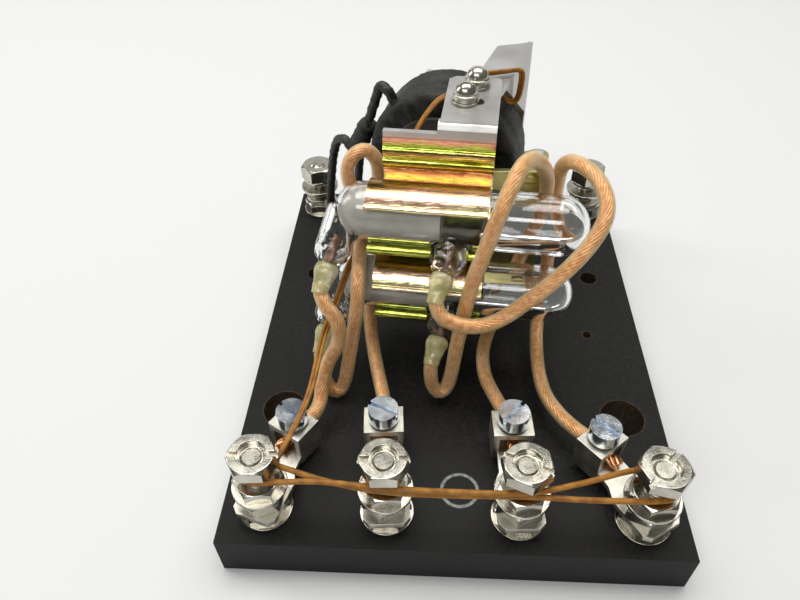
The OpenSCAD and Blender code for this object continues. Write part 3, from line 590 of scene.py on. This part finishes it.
def bake_modifiers(piece):
    """Turns a piece with modifiers into a plain mesh of its own."""
    bpy.context.view_layer.update()
    graph = bpy.context.evaluated_depsgraph_get()
    mesh = bpy.data.meshes.new_from_object(piece.evaluated_get(graph), depsgraph=graph)
    piece.modifiers.clear()
    if piece.type == "MESH":
        piece.data = mesh
        return piece
    name = piece.name
    bpy.data.objects.remove(piece)
    plain = bpy.data.objects.new(name, mesh)
    bpy.context.collection.objects.link(plain)
    return plain


def joined_copy(node):
    """The CAD node's triangles, joined at their corners, as a new bmesh."""
    shape = bmesh.new()
    shape.from_mesh(frame["nodes"][node].data)
    bmesh.ops.remove_doubles(shape, verts=shape.verts, dist=WELD_WITHIN * MM)
    return shape


def soften(node, width, segments=2):
    shape = joined_copy(node)
    bmesh.ops.dissolve_limit(shape, angle_limit=FLAT_WITHIN, verts=shape.verts, edges=shape.edges)
    mesh = bpy.data.meshes.new(node + "_softened")
    shape.to_mesh(mesh)
    shape.free()
    piece = add_piece(node + "_softened", mesh, FINISHES[SLOT_OF[node]])
    bevel = piece.modifiers.new("round", "BEVEL")
    bevel.width = width * MM
    bevel.segments = segments
    bevel.limit_method = "ANGLE"
    bevel.angle_limit = CORNER_FROM
    mesh.shade_smooth()
    piece.modifiers.new("flat faces stay flat", "WEIGHTED_NORMAL").weight = 100
    bake_modifiers(piece)
    stands_for(piece, node)


# %% [markdown]
# ## How round each edge is
# A nut's corner is crisp, a die-cut lug's is worn, and mercury has no edge at all. One width for all
# would either blunt the nuts or leave the lugs sharp, so each width has its own list of parts, with three
# segments on the wider ones. The last few parts are round already, thin or hidden, and take only their
# finish.

# %% Round the edges
WIDE_FROM = 0.25
# Each width in millimetres, and the parts that get it.
EDGES = {
    0.35: ["base_slab"],
    0.1: ["slotted_nuts", "clamp_screws"],
    0.16: ["jam_nuts", "lug_nuts", "check_nuts", "coil_stud_nuts", "core_screw"],
    0.14: ["terminal_studs", "coil_studs", "base_washers", "wire_washers", "coil_stud_washers", "acorn_nuts",
           "adjuster_washers", "adjuster_screws", "stop_lock_nut", "stop_screw", "arm_rivets", "yoke_screws",
           "bracket_screws", "hinge_pin"],
    0.25: ["lug_1", "lug_2", "lug_3", "lug_4"],
    0.18: ["tube_plate", "armature", "yoke_frame", "hinge_bracket", "stop_bracket", "coil_wire_lugs"],
    0.08: ["clip_upper", "clip_lower"],
    0.5: ["mercury_upper", "mercury_lower"],
}
for width, nodes in EDGES.items():
    for node in nodes:
        soften(node, width, 3 if width >= WIDE_FROM else 2)
PLAIN = ("arm", "coil_core", "coil_bobbin", "liner_upper", "liner_lower", "electrodes")
for node in PLAIN:
    frame["nodes"][node].material_slots[0].material = FINISHES[SLOT_OF[node]]
print("softened:", sum(len(nodes) for nodes in EDGES.values()), "left plain:", len(PLAIN))

# %% [markdown]
# ## Tubes
# Each tube is drawn glass with two wells melted onto its side, and the joint is a smooth fillet with
# ripples from the flame. A bevel can't round a joint between curved walls that cross. So a voxel remesh
# of the plain tube joins its parts into one skin, smoothing rounds the joints, and a low noise ripples
# the wells.

# %% Tubes
TUBE_AXES = {"tube_upper": UPPER_AXIS, "tube_lower": LOWER_AXIS}
MOUNT_AT = Vector((-4.5, 0, 0)) * MM
TUBE_Y = -7.75
TUBE_RADIUS = 6.8
GLASS_VOXEL = 0.3
RIPPLE_HEIGHT, RIPPLE_REACH, RIPPLE_SCALE = 0.3, 2, 520


def tube_frame(point):
    """A point given in the tube plate's own frame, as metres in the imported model's frame."""
    return MOUNT_AT + Matrix.Rotation(TUBE_YAW, 3, "Z") @ (Vector(point) * MM)


def make_tube(node):
    shape = joined_copy(node)
    mesh = bpy.data.meshes.new(node + "_glass")
    shape.to_mesh(mesh)
    shape.free()
    piece = add_piece(node + "_glass", mesh, GLASS)
    remesh = piece.modifiers.new("one skin", "REMESH")
    remesh.mode = "VOXEL"
    remesh.voxel_size = GLASS_VOXEL * MM
    relax = piece.modifiers.new("relax", "SMOOTH")
    relax.factor = 0.5
    relax.iterations = 9
    bake_modifiers(piece)
    back = Matrix.Rotation(-TUBE_YAW, 3, "Z")
    normals = [corner.vector.copy() for corner in piece.data.vertex_normals]
    for vertex, normal in zip(piece.data.vertices, normals):
        local = back @ (vertex.co - MOUNT_AT) / MM
        away = math.hypot(local.y - TUBE_Y, local.z - TUBE_AXES[node]) - TUBE_RADIUS
        ripple = min(max(away / RIPPLE_REACH, 0.0), 1.0) * RIPPLE_HEIGHT
        if ripple:
            vertex.co += normal * noise.noise(vertex.co * RIPPLE_SCALE) * ripple * MM
    piece.data.shade_smooth()
    stands_for(piece, node)
    print(node, "faces:", len(piece.data.polygons))


for node in TUBE_AXES:
    make_tube(node)

# %% [markdown]
# ## Seals
# Where a lead enters its well, the glass is sealed with a lump of yellow-green varnish that runs on over
# the lead's sleeve. Metaballs would make a lump too, but not one that fits a well. So each is a profile
# turned about the well's direction, with a low noise that makes it lumpy.

# %% Seals
# Each well's place along its tube, and the height of the tube's axis.
WELLS = [(-20.0, UPPER_AXIS), (5.8, UPPER_AXIS), (-22.0, LOWER_AXIS), (5.2, LOWER_AXIS)]
WELL_DIRECTION = Vector((-0.18, -0.79, -0.59))
# The seal's outline: how far from the tube's axis, and its radius there.
SEAL_PROFILE = [(12.7, 0.0), (12.7, 1.6), (13.3, 2.35), (14.3, 2.75), (15.4, 2.7), (16.5, 2.35), (17.6, 2.1),
                (18.6, 2.0), (19.6, 1.9), (20.3, 1.78), (20.4, 0.0)]
AROUND = 40
LUMP_HEIGHT, LUMP_SCALE = 0.22, 0.55


def quads_of(rings, around):
    """The faces between rings of points, each ring with so many points."""
    faces = []
    for ring in range(rings - 1):
        for k in range(around):
            a, b = ring * around + k, ring * around + (k + 1) % around
            faces.append((a, b, b + around, a + around))
    return faces


def turned(start, direction, profile):
    """Rings of a profile of (distance, radius) about a line, as points and faces."""
    along = direction.normalized()
    side = along.orthogonal().normalized()
    other = along.cross(side)
    points = []
    for distance, radius in profile:
        for k in range(AROUND):
            a = 2 * math.pi * k / AROUND
            points.append(start + along * distance + (side * math.cos(a) + other * math.sin(a)) * radius)
    return points, quads_of(len(profile), AROUND)


def resampled(profile, parts=4):
    """The profile with each stretch split into equal parts."""
    rows = []
    for (d0, r0), (d1, r1) in zip(profile, profile[1:]):
        rows += [(d0 + (d1 - d0) * i / parts, r0 + (r1 - r0) * i / parts) for i in range(parts)]
    return rows + [profile[-1]]


def closed_mesh(name, points, faces):
    shape = bmesh.new()
    corners = [shape.verts.new(point) for point in points]
    for face in faces:
        shape.faces.new([corners[i] for i in face])
    bmesh.ops.remove_doubles(shape, verts=shape.verts, dist=0.002 * MM)
    bmesh.ops.recalc_face_normals(shape, faces=shape.faces)
    mesh = bpy.data.meshes.new(name)
    shape.to_mesh(mesh)
    shape.free()
    mesh.shade_smooth()
    return mesh


def make_seals():
    points, faces = [], []
    for x, z in WELLS:
        root = Vector((x, TUBE_Y, z))
        rings, quads = turned(root, WELL_DIRECTION, resampled(SEAL_PROFILE))
        faces += [tuple(len(points) + i for i in quad) for quad in quads]
        for point in rings:
            lump = LUMP_HEIGHT * noise.noise(point * LUMP_SCALE)
            points.append(tube_frame(point + (point - root).normalized() * lump + Vector((lump, 0, lump))))
    piece = add_piece("varnish_seals", closed_mesh("varnish_seals", points, faces), VARNISH)
    relax = piece.modifiers.new("relax", "SMOOTH")
    relax.iterations = 4
    bake_modifiers(piece)
    stands_for(piece, "seal_blobs")
    print("seals:", len(WELLS))


make_seals()

# %% [markdown]
# ## Things that follow a path
# Leads, bands, springs and threads are all a small section carried along a line. Two Geometry Nodes trees
# make them. The first sweeps one round tube. The second lays several strands round the line in a helix,
# as in stranded wire. Both store how far along the line each point is, so a lead can be cut where its
# motion changes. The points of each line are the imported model's own, in millimetres, and a smooth curve
# joins them. Only the arm's band and the coil's tail differ: two points further out stand in for their
# first one, where the band hooks round its stud and the tail goes into the tape.

# %% Routes
ROUTES = {
    "lead_1": [(-29.9, -19.5, 46.2), (-30.2, -20.5, 45.4), (-28.8, -22.8, 43), (-26.5, -24, 39.6),
               (-26.7, -24.4, 33.2), (-29.3, -25.6, 27.6), (-31, -28, 23), (-31.3, -31, 20),
               (-32.4, -34.2, 18.8), (-34, -36.4, 18.7)],
    "lead_2": [(-31.9, -19.3, 25.9), (-32.2, -20.3, 25.1), (-32, -22.2, 21.5), (-30.8, -23.6, 16.4),
               (-28.6, -24, 14.3), (-26.6, -22.5, 17), (-24.5, -20, 28), (-22.7, -18.5, 38),
               (-22.3, -16, 44), (-22.3, -9, 46.9), (-22.5, -2, 48), (-23.7, 2.5, 53), (-25.5, 3.5, 60),
               (-24.3, 4.5, 64.2), (-21.3, 6, 65.2), (-19, 7.5, 61.5), (-19, 10, 54), (-19.5, 10, 42),
               (-21, 4.5, 31), (-21.5, -4, 25.5), (-20.5, -12, 21.8), (-18.5, -21, 19.6),
               (-16.5, -29, 18.8), (-16, -34.4, 18.7)],
    "lead_3": [(-4.9, -22.2, 25.8), (-5.2, -23.2, 25), (-5.3, -24, 22), (-4.8, -24.2, 18),
               (-3, -24.4, 15.6), (-0.8, -23.4, 18.5), (0.8, -22.4, 32), (3, -21.5, 48),
               (5.7, -20.5, 58.5), (8.7, -18, 68), (12, -12, 72.3), (15.3, -6, 70.8), (19.3, 0, 64),
               (21, 4.5, 55), (20, 6.5, 45), (17.3, 5, 36), (14, 1, 27.5), (10.2, -6, 21.5),
               (7.8, -14, 19.8), (8, -22, 19.4), (10.6, -29, 18.9), (13.1, -34.4, 18.7)],
    "lead_4": [(-4.3, -22.3, 46.2), (-4.5, -23.3, 45.4), (-3.4, -25, 43.2), (-1.5, -25.6, 42), (2, -26, 41),
               (6, -25.7, 41), (10.5, -25, 43), (18, -23.7, 50), (24.2, -21.7, 56.5), (28.8, -18, 62),
               (30.2, -14, 65.3), (28.8, -8, 67.5), (25.3, -2, 67.5), (23.8, 3.5, 63.5), (24, 8, 56),
               (24.5, 9.3, 44), (24.3, 6, 31), (22.2, -4, 20.5), (21.6, -15, 17.3), (22.4, -25, 17.3),
               (25.6, -32.6, 17.9), (30.2, -38.6, 18.7)],
    "coil_lead_left": [(-28.7, 36.2, 47), (-30.8, 37.6, 49), (-33.2, 40.5, 47), (-35.2, 43.5, 41),
                       (-37, 46.2, 32), (-38.3, 47.8, 24), (-38.7, 48.5, 19.6)],
    "coil_lead_right": [(-26.6, 37, 45.1), (-27.4, 38.4, 39), (-28.4, 40.4, 30), (-27, 43, 20),
                        (-20, 47, 14.6), (-8, 51, 13.6), (10, 53, 13.6), (26, 53, 14), (32, 52.8, 15.6),
                        (36.2, 52.3, 17.8)],
    "band_front": [(-37.6, -53.6, 27.4), (-26, -56.6, 26.4), (-14.2, -58.5, 26.3), (0, -58.8, 26.3),
                   (14.2, -58.5, 26.3), (28, -58.8, 26.3), (41, -58.4, 26.3), (43.6, -56.8, 26.3),
                   (43.6, -53.4, 26.3), (40.8, -51.9, 26.4), (35.4, -52.6, 27.4), (25, -56.2, 28),
                   (14.2, -58.5, 27.7), (0, -58.8, 27.7), (-14.2, -58.5, 27.7), (-28, -57.6, 27.8),
                   (-40.8, -58.4, 27.8), (-43.6, -56.8, 27.8), (-43.6, -53.4, 27.8), (-40.8, -51.9, 27.8)],
    "band_arm": [(-37.6, -56.3, 26.6), (-36.9, -54.6, 28.2), (-31.8, -39.6, 31.5), (-29.8, -26, 36),
                 (-27, -16.5, 40.4), (-24.6, -9, 44.2), (-22, -1.6, 45.2), (-19, 2.5, 47), (-17, 5.8, 50.5),
                 (-11, 13.5, 63.5), (-6.5, 17.8, 69.5), (-2.6, 20.6, 71.4), (4, 24, 71.4), (9.5, 26, 70.5),
                 (12.6, 27, 66.6), (14.6, 27.2, 67), (15.2, 27, 71), (14.8, 26.6, 74.6), (11.5, 25.4, 75.1),
                 (5.6, 23.7, 75.2)],
}
COIL_TAIL = [(-14.4, 29.2, 61.5), (-15.8, 29.3, 64.6), (-17.7, 29.8, 68), (-19.5, 31, 68.2),
             (-21.2, 32, 63.5), (-23, 33, 58)]
SPLICE = [(-23.3, 33.1, 56.7), (-24.6, 34, 53.5), (-26, 35, 50.5), (-26.8, 35.6, 48.4)]


def smooth_route(points, steps=6):
    """A Catmull-Rom line through the points, in metres."""
    p = [Vector(point) * MM for point in points]
    p = [p[0]] + p + [p[-1]]
    line = []
    for a, b, c, d in zip(p, p[1:], p[2:], p[3:]):
        for j in range(steps):
            t = j / steps
            line.append(0.5 * (2 * b + (c - a) * t + (2 * a - 5 * b + 4 * c - d) * t ** 2
                               + (3 * b - a - 3 * c + d) * t ** 3))
    return line + [p[-1]]


def length_of(line):
    return sum((b - a).length for a, b in zip(line, line[1:]))


print("lengths in mm:", {name: round(length_of(smooth_route(route)) / MM) for name, route in ROUTES.items()})

# %% [markdown]
# ## The two trees
# A curve's own bevel can carry a circle along a line, but it can't lay strands or store a value at each
# point. In the trees the line is resampled to an even spacing, and each point stores its share of the
# length. For strands, the line is copied and each copy is moved off it by an angle that grows along the
# way. Then a circle is carried along every line.

# %% The two trees
def sweep_along(tree, curve, radius, sides, material):
    """Carries a circle along the curves and ends the tree in real geometry with its material."""
    circle = put(tree, "GeometryNodeCurvePrimitiveCircle", {"Resolution": sides, "Radius": radius},
                 mode="RADIUS")
    tube = put(tree, "GeometryNodeCurveToMesh",
               {"Curve": curve, "Profile Curve": circle.outputs[0], "Fill Caps": True})
    shaded = put(tree, "GeometryNodeSetShadeSmooth", {"Geometry": tube.outputs[0]})
    real = put(tree, "GeometryNodeRealizeInstances", {"Geometry": shaded.outputs[0]})
    return put(tree, "GeometryNodeSetMaterial",
               {"Geometry": real.outputs[0], "Material": material}).outputs[0]


def make_path_tree(name, stranded):
    inputs = {"Geometry": ("Geometry", None), "Radius": ("Float", 0.001), "Sides": ("Int", 12),
              "Spacing": ("Float", 0.0006), "Material": ("Material", None)}
    if stranded:
        inputs |= {"Strands": ("Int", 7), "Lay Radius": ("Float", 0.001), "Pitch": ("Float", 0.01)}
    tree, given, result = new_group(name, "GeometryNodeTree", inputs, {"Geometry": "Geometry"})
    curve = put(tree, "GeometryNodeResampleCurve", {"Curve": given["Geometry"], "Length": given["Spacing"]},
                mode="LENGTH").outputs[0]
    parameter = put(tree, "GeometryNodeSplineParameter").outputs
    curve = put(tree, "GeometryNodeStoreNamedAttribute",
                {"Geometry": curve, "Name": "along", "Value": parameter["Factor"]},
                data_type="FLOAT", domain="POINT").outputs[0]
    if stranded:
        copies = put(tree, "GeometryNodeDuplicateElements",
                     {"Geometry": curve, "Amount": given["Strands"]}, domain="SPLINE")
        turns = maths(tree, "ADD", maths(tree, "DIVIDE", parameter["Length"], given["Pitch"]),
                      maths(tree, "DIVIDE", copies.outputs["Duplicate Index"], given["Strands"]))
        angle = maths(tree, "MULTIPLY", turns, 2 * math.pi)
        tangent = put(tree, "GeometryNodeInputTangent").outputs[0]
        normal = put(tree, "GeometryNodeInputNormal").outputs[0]
        other = vector_maths(tree, "CROSS_PRODUCT", tangent, normal)
        spoke = vector_maths(tree, "ADD", scaled(tree, normal, maths(tree, "COSINE", angle)),
                             scaled(tree, other, maths(tree, "SINE", angle)))
        curve = put(tree, "GeometryNodeSetPosition",
                    {"Geometry": copies.outputs[0],
                     "Offset": scaled(tree, spoke, given["Lay Radius"])}).outputs[0]
    swept = sweep_along(tree, curve, given["Radius"], given["Sides"], given["Material"])
    tree.links.new(swept, result["Geometry"])
    return tree


SWEEP_TREE = make_path_tree("swept_tube", stranded=False)
STRAND_TREE = make_path_tree("laid_strands", stranded=True)
print("trees:", SWEEP_TREE.name, STRAND_TREE.name)


def follow(name, lines, tree, material, **inputs):
    """One mesh made by a tree that follows the lines."""
    curve = bpy.data.curves.new(name, "CURVE")
    curve.dimensions = "3D"
    for line in lines:
        spline = curve.splines.new("POLY")
        spline.points.add(len(line) - 1)
        for point, place in zip(spline.points, line):
            point.co = (*place, 1)
    piece = bpy.data.objects.new(name, curve)
    bpy.context.collection.objects.link(piece)
    modifier = piece.modifiers.new("path", "NODES")
    modifier.node_group = tree
    sockets = {item.name: item.identifier for item in tree.interface.items_tree if item.in_out == "INPUT"}
    modifier[sockets["Material"]] = material
    for label, value in inputs.items():
        modifier[sockets[label.replace("_", " ").title()]] = value
    return bake_modifiers(piece)


# %% [markdown]
# ## Leads
# Two leads run from each tube, and each is a rope of fine copper strands in a clear amber sleeve. Stripes
# on one smooth tube would look painted, so the strands are real and the sleeve over them is half clear. A
# lead starts on a tube, which both joints move, and ends in a terminal. A piece can bend across one joint
# only, so each lead is cut at a point that follows the arm: the length on the tube's side of the cut
# bends between the arm and the tubes, and the rest bends between the arm and the slab.

# %% Cutting a lead
def cut(piece, at):
    """Splits a piece by its stored distance along the path. Returns start and end."""
    halves = []
    for keep_start in (True, False):
        shape = bmesh.new()
        shape.from_mesh(piece.data)
        layer = shape.verts.layers.float["along"]
        drop = [face for face in shape.faces
                if (sum(v[layer] for v in face.verts) / len(face.verts) < at) != keep_start]
        bmesh.ops.delete(shape, geom=drop, context="FACES")
        mesh = bpy.data.meshes.new(piece.name + ("_tube_end" if keep_start else "_slab_end"))
        shape.to_mesh(mesh)
        shape.free()
        halves.append(add_piece(mesh.name, mesh, piece.data.materials[0]))
    bpy.data.objects.remove(piece)
    return halves


# %% Leads
SLEEVE_RADIUS = 1.7
# Where each lead is cut, as a share of its length, and the two places between which each end bends.
CUTS = {
    "lead_1": dict(at=0.42, tube=((-26.8, -24.4, 34), (-30, -20.5, 45)),
                   slab=((-34, -36.4, 18.7), (-29.8, -26.6, 25.5))),
    "lead_2": dict(at=0.49, tube=((-24.3, 4.5, 62), (-22.3, -8, 46.5)),
                   slab=((-16, -34, 18.7), (-20, 8, 58))),
    "lead_3": dict(at=0.56, tube=((20.5, 2.5, 60), (0, -22, 30)), slab=((13, -34, 18.7), (17.3, 5, 34))),
    "lead_4": dict(at=0.5, tube=((25, -1, 67), (2, -25, 42)), slab=((30, -38, 18.7), (24, 6, 60))),
}


def make_lead(node):
    line = smooth_route(ROUTES[node])
    parts = [
        follow(node + "_sleeve", [line], SWEEP_TREE, SLEEVE, radius=SLEEVE_RADIUS * MM, sides=20,
               spacing=1.0 * MM),
        follow(node + "_strands", [line], STRAND_TREE, STRAND, radius=0.33 * MM, sides=6, spacing=0.6 * MM,
               strands=12, lay_radius=1.1 * MM, pitch=19 * MM),
    ]
    plan = CUTS[node]
    for part in parts:
        tube_end, slab_end = cut(part, plan["at"])
        for half, (a, b), ends in ((tube_end, ("armature_arm", "tube_mount"), plan["tube"]),
                                   (slab_end, ("base", "armature_arm"), plan["slab"])):
            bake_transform(half, a, b, *[tuple(Vector(end) * MM) for end in ends])
        if "sleeve" in slab_end.name:
            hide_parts(node)
    print(node, "length in mm:", round(length_of(line) / MM, 1))


for node in CUTS:
    make_lead(node)

# %% [markdown]
# ## Bare wire ends
# The copper strands come bare out of the front of each lug. A plain cylinder would hide that they are
# wire, so the strand tree makes them too, along a straight line through each lug's collar.

# %% Bare wire ends
STUD_XS = (-40.8, -14.2, 14.2, 40.8)
STUD_Y = -55.1
LEAD_Z = 18.7
# For each stud: the turn of its lug, the reach to the collar's middle, and the turn of the collar.
LUGS = [(17, 16.2, 33), (-5, 16.9, -4), (-3, 16.9, -3), (-31, 15.8, -41)]
WIRE_FRONT, WIRE_BACK = -5.4, 3.2
LINE_PARTS = 12


def lug_line(stud_x, lug_turn, reach, collar_turn):
    """A line along a lug's collar, before and behind its middle; the turns are clockwise from above."""
    lug, collar = math.radians(lug_turn), math.radians(collar_turn)
    middle = Vector((stud_x + reach * math.sin(lug), STUD_Y + reach * math.cos(lug), LEAD_Z))
    axis = Vector((math.sin(collar), math.cos(collar), 0))
    return [(middle + axis * (WIRE_FRONT + (WIRE_BACK - WIRE_FRONT) * i / LINE_PARTS)) * MM
            for i in range(LINE_PARTS + 1)]


WIRE_ENDS = follow("bare_strands", [lug_line(x, *lug) for x, lug in zip(STUD_XS, LUGS)], STRAND_TREE, COPPER,
                   radius=0.5 * MM, sides=8, spacing=0.4 * MM, strands=6, lay_radius=1.0 * MM, pitch=14 * MM)
stands_for(WIRE_ENDS, "bare_wire_ends")
print("bare wire ends:", len(LUGS))

# %% [markdown]
# ## Rubber bands
# Two rubber bands hold the arm for carriage: one runs round the outer studs, and one from the left stud
# round the arm. Each could be a simulated loop, but they only lie taut between a few posts, so their
# routes are given point by point. The arm's band is twisted from two cords, and it bends between the
# slab and the arm.

# %% Bands
FRONT_BAND = follow("front_band", [smooth_route(ROUTES["band_front"])], SWEEP_TREE, RUBBER, radius=0.62 * MM,
                    sides=10, spacing=0.8 * MM)
stands_for(FRONT_BAND, "band_front")
ARM_BAND = follow("arm_band", [smooth_route(ROUTES["band_arm"])], STRAND_TREE, RUBBER, radius=0.42 * MM,
                  sides=8, spacing=0.8 * MM, strands=2, lay_radius=0.4 * MM, pitch=160 * MM)
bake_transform(ARM_BAND, "base", "armature_arm",
         tuple(Vector((-34, -50, 29)) * MM), tuple(Vector((-4, 20, 70)) * MM))
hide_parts("band_arm")
print("bands:", FRONT_BAND.name, ARM_BAND.name)

# %% [markdown]
# ## Return spring
# A small compression spring pushes the armature off the coil when the current stops, and so brings the
# arm back to its stop. The Screw modifier could wind it, but a line from one formula goes through the
# same tree as the leads. It stands between the coil's frame and the armature, so it bends between the
# slab and the arm.

# %% Return spring
COIL_AT = Vector((-2, 30, 0))
COIL_TURN = Matrix.Rotation(math.radians(-14), 3, "Z")
SPRING_AT = (-10, 36)
SPRING_FROM, SPRING_LENGTH, SPRING_TURNS, SPRING_RADIUS = 11.9, 7.2, 5, 2.2
SPRING_PARTS = 24


def coil_frame(u, v, z):
    """A point given in the coil's own frame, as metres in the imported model's frame."""
    return (COIL_AT + COIL_TURN @ Vector((u, v, z))) * MM


def helix():
    steps = SPRING_PARTS * SPRING_TURNS
    for i in range(steps + 1):
        a = 2 * math.pi * i / SPRING_PARTS
        yield coil_frame(SPRING_AT[0] + SPRING_RADIUS * math.cos(a), SPRING_FROM + SPRING_LENGTH * i / steps,
                         SPRING_AT[1] + SPRING_RADIUS * math.sin(a))


RETURN_SPRING = follow("coiled_spring", [list(helix())], SWEEP_TREE, SPRING, radius=0.3 * MM, sides=10,
                       spacing=0.3 * MM)
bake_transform(RETURN_SPRING, "base", "armature_arm",
         tuple(coil_frame(-10, 12, 36)), tuple(coil_frame(-10, 19, 36)))
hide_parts("return_spring")
print("spring turns:", SPRING_TURNS)

# %% [markdown]
# ## Threads
# On each stud some thread shows between the nuts. A bump would be flat in outline where the stud is seen
# from the side. A thread is a ridge wound up the stud, so the same sweeping tree makes it from a fine
# helix.

# %% Threads
THREAD_PITCH, THREAD_RADIUS, THREAD_PARTS = 0.8, 2.35, 20
# Each stud's place, and its thread's lowest and highest point.
THREADS = [((x, STUD_Y), 24.6, 32.0) for x in STUD_XS]
THREADS += [((x, 55.5), 15.8, 29.4) for x in (-43, 43)]


def thread_line(place, low, high):
    steps = int((high - low) / THREAD_PITCH * THREAD_PARTS)
    for i in range(steps + 1):
        a = 2 * math.pi * i / THREAD_PARTS
        yield Vector((place[0] + THREAD_RADIUS * math.cos(a), place[1] + THREAD_RADIUS * math.sin(a),
                      low + (high - low) * i / steps)) * MM


STUD_THREADS = follow("stud_threads", [list(thread_line(*thread)) for thread in THREADS], SWEEP_TREE, NICKEL,
                      radius=0.26 * MM, sides=6, spacing=0.6 * MM)
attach(STUD_THREADS, "base")
print("threads:", len(THREADS))

# %% [markdown]
# ## The taped coil
# The winding is wrapped in black friction tape. The tape goes round the rim in overlapping turns, and its
# edges fold down over both faces in small pleats. Such a drum could be sculpted, but every fold follows
# the angle, so it is a ring of rounded sections, one for each small angle, whose corners and pleats come
# from short waves.

# %% Taped drum
DRUM_RADIUS, DRUM_HALF, DRUM_BORE, CORE_Z = 19.5, 7.9, 7.0, 50.6
DRUM_STEPS = 320
FACE_PARTS = 6
TAPE_LAPS, LAP_HEIGHT, TAPE_OVER = 3, 0.175, 0.1
SAG, BIG_PLEATS, SMALL_PLEATS, PLEAT_SHARE = 0.5, 0.5, 0.25, 0.5
DISH_DEPTH, FACE_DEPTH, FACE_INSET = 0.9, 0.2, 2.4
COARSE_LUMP, COARSE_SCALE, FINE_LUMP, FINE_SCALE, HIGHEST_LUMP = 0.12, 0.9, 0.05, 3, 0.1
# The rim's corners from front to back: depth under the outside, place along the axis, share of the sag.
RIM = [(1.6, -DRUM_HALF + 0.25, 0), (0.6, -DRUM_HALF + 0.6, 0), (0.15, -DRUM_HALF + 1.4, 0),
       (-0.3, -4.2, 1), (0.8, -3.8, 1), (0.1, -1, 0), (-0.3, 2.4, -1), (0.8, 2.9, -1),
       (0.1, DRUM_HALF - 1.3, 0), (0.7, DRUM_HALF - 0.5, 0), (1.7, DRUM_HALF - 0.2, 0)]


def drum_section(angle):
    """The drum's section at an angle, as (radius, along the axis), anticlockwise from the bore."""
    pleat = BIG_PLEATS * math.sin(17 * angle + 2 * math.sin(3 * angle)) + SMALL_PLEATS * math.sin(41 * angle)
    sag = SAG * math.sin(2 * angle + 0.6)
    lap = LAP_HEIGHT * ((angle / (2 * math.pi) * TAPE_LAPS) % 1)
    outer = DRUM_RADIUS + TAPE_OVER + lap
    rim = [(outer - depth, v + sag * share) for depth, v, share in RIM]
    face = []
    for i in range(FACE_PARTS + 1):
        dish = DISH_DEPTH * (1 - (i / FACE_PARTS)) ** 2 + FACE_DEPTH
        radius = DRUM_BORE + (outer - FACE_INSET - DRUM_BORE) * i / FACE_PARTS
        face.append((radius, dish + pleat * PLEAT_SHARE * i / FACE_PARTS))
    front = [(r, -DRUM_HALF + depth) for r, depth in face]
    back = [(r, DRUM_HALF - depth) for r, depth in reversed(face)]
    return front + rim + back


def make_drum():
    rows = [drum_section(2 * math.pi * k / DRUM_STEPS) for k in range(DRUM_STEPS)]
    count = len(rows[0])
    points, faces = [], []
    for k, row in enumerate(rows):
        a = 2 * math.pi * k / DRUM_STEPS
        for radius, v in row:
            place = Vector((math.cos(a) * radius, v, math.sin(a) * radius))
            coarse = COARSE_LUMP * noise.noise(place * COARSE_SCALE)
            fine = FINE_LUMP * noise.noise(place * FINE_SCALE)
            growth = 1 + min(coarse + fine, HIGHEST_LUMP) / radius
            points.append(coil_frame(place.x * growth, v, CORE_Z + place.z * growth))
        here, beyond = k * count, (k + 1) % DRUM_STEPS * count
        for j in range(count):
            up = (j + 1) % count
            faces.append((here + j, here + up, beyond + up, beyond + j))
    piece = add_piece("taped_drum", closed_mesh("taped_drum", points, faces), TAPE)
    stands_for(piece, "coil_winding")
    print("drum faces:", len(faces))


make_drum()

# %% [markdown]
# ## The coil's wires and their splice
# A short tail comes out of the drum into a thick taped splice, and from there a black wire runs to each
# coil terminal. The sweep tree gives a smooth tube, and here the wall has to step up once a turn. So
# rings of points are laid along each route, and how far each point stands off grows along a helix and
# then drops back.

# %% Taped wires
TAPED_SIDES = 24
TAPE_LUMP, TAPE_LUMP_SCALE = 0.12, 0.8


def taped(line, radius, pitch, step):
    """A tube whose wall steps up once a pitch, as tape wound in a helix does."""
    points = []
    travelled = 0.0
    side = None
    for i, place in enumerate(line):
        along = (line[min(i + 1, len(line) - 1)] - line[max(i - 1, 0)]).normalized()
        side = along.orthogonal() if side is None else side - along * side.dot(along)
        side.normalize()
        other = along.cross(side)
        travelled += (place - line[i - 1]).length / MM if i else 0
        for k in range(TAPED_SIDES):
            a = 2 * math.pi * k / TAPED_SIDES
            lap = step * ((travelled / pitch + k / TAPED_SIDES) % 1)
            lump = TAPE_LUMP * noise.noise(place / MM * TAPE_LUMP_SCALE + Vector((k, 0, 0)))
            bulge = radius + lap + lump
            points.append(place + (side * math.cos(a) + other * math.sin(a)) * bulge * MM)
    caps = [tuple(range(TAPED_SIDES)), tuple(len(points) - 1 - k for k in range(TAPED_SIDES))]
    return points, quads_of(len(line), TAPED_SIDES) + caps


def make_taped(name, routes, node, material, radius, pitch, step):
    points, faces = [], []
    for route in routes:
        rings, quads = taped(smooth_route(route, steps=14), radius, pitch, step)
        faces += [tuple(len(points) + i for i in quad) for quad in quads]
        points += rings
    piece = add_piece(name, closed_mesh(name, points, faces), material)
    stands_for(piece, node)
    print(name, "faces:", len(faces))


make_taped("taped_splice", [SPLICE], "lead_splice", TAPE, radius=2.2, pitch=2.6, step=0.6)
make_taped("left_coil_wires", [COIL_TAIL, ROUTES["coil_lead_left"]], "coil_lead_left", WIRE,
           radius=1.15, pitch=3.4, step=0.25)
make_taped("right_coil_wire", [ROUTES["coil_lead_right"]], "coil_lead_right", WIRE,
           radius=1.15, pitch=3.4, step=0.15)

# %% [markdown]
# The visual model has to stay in the box of the imported one.
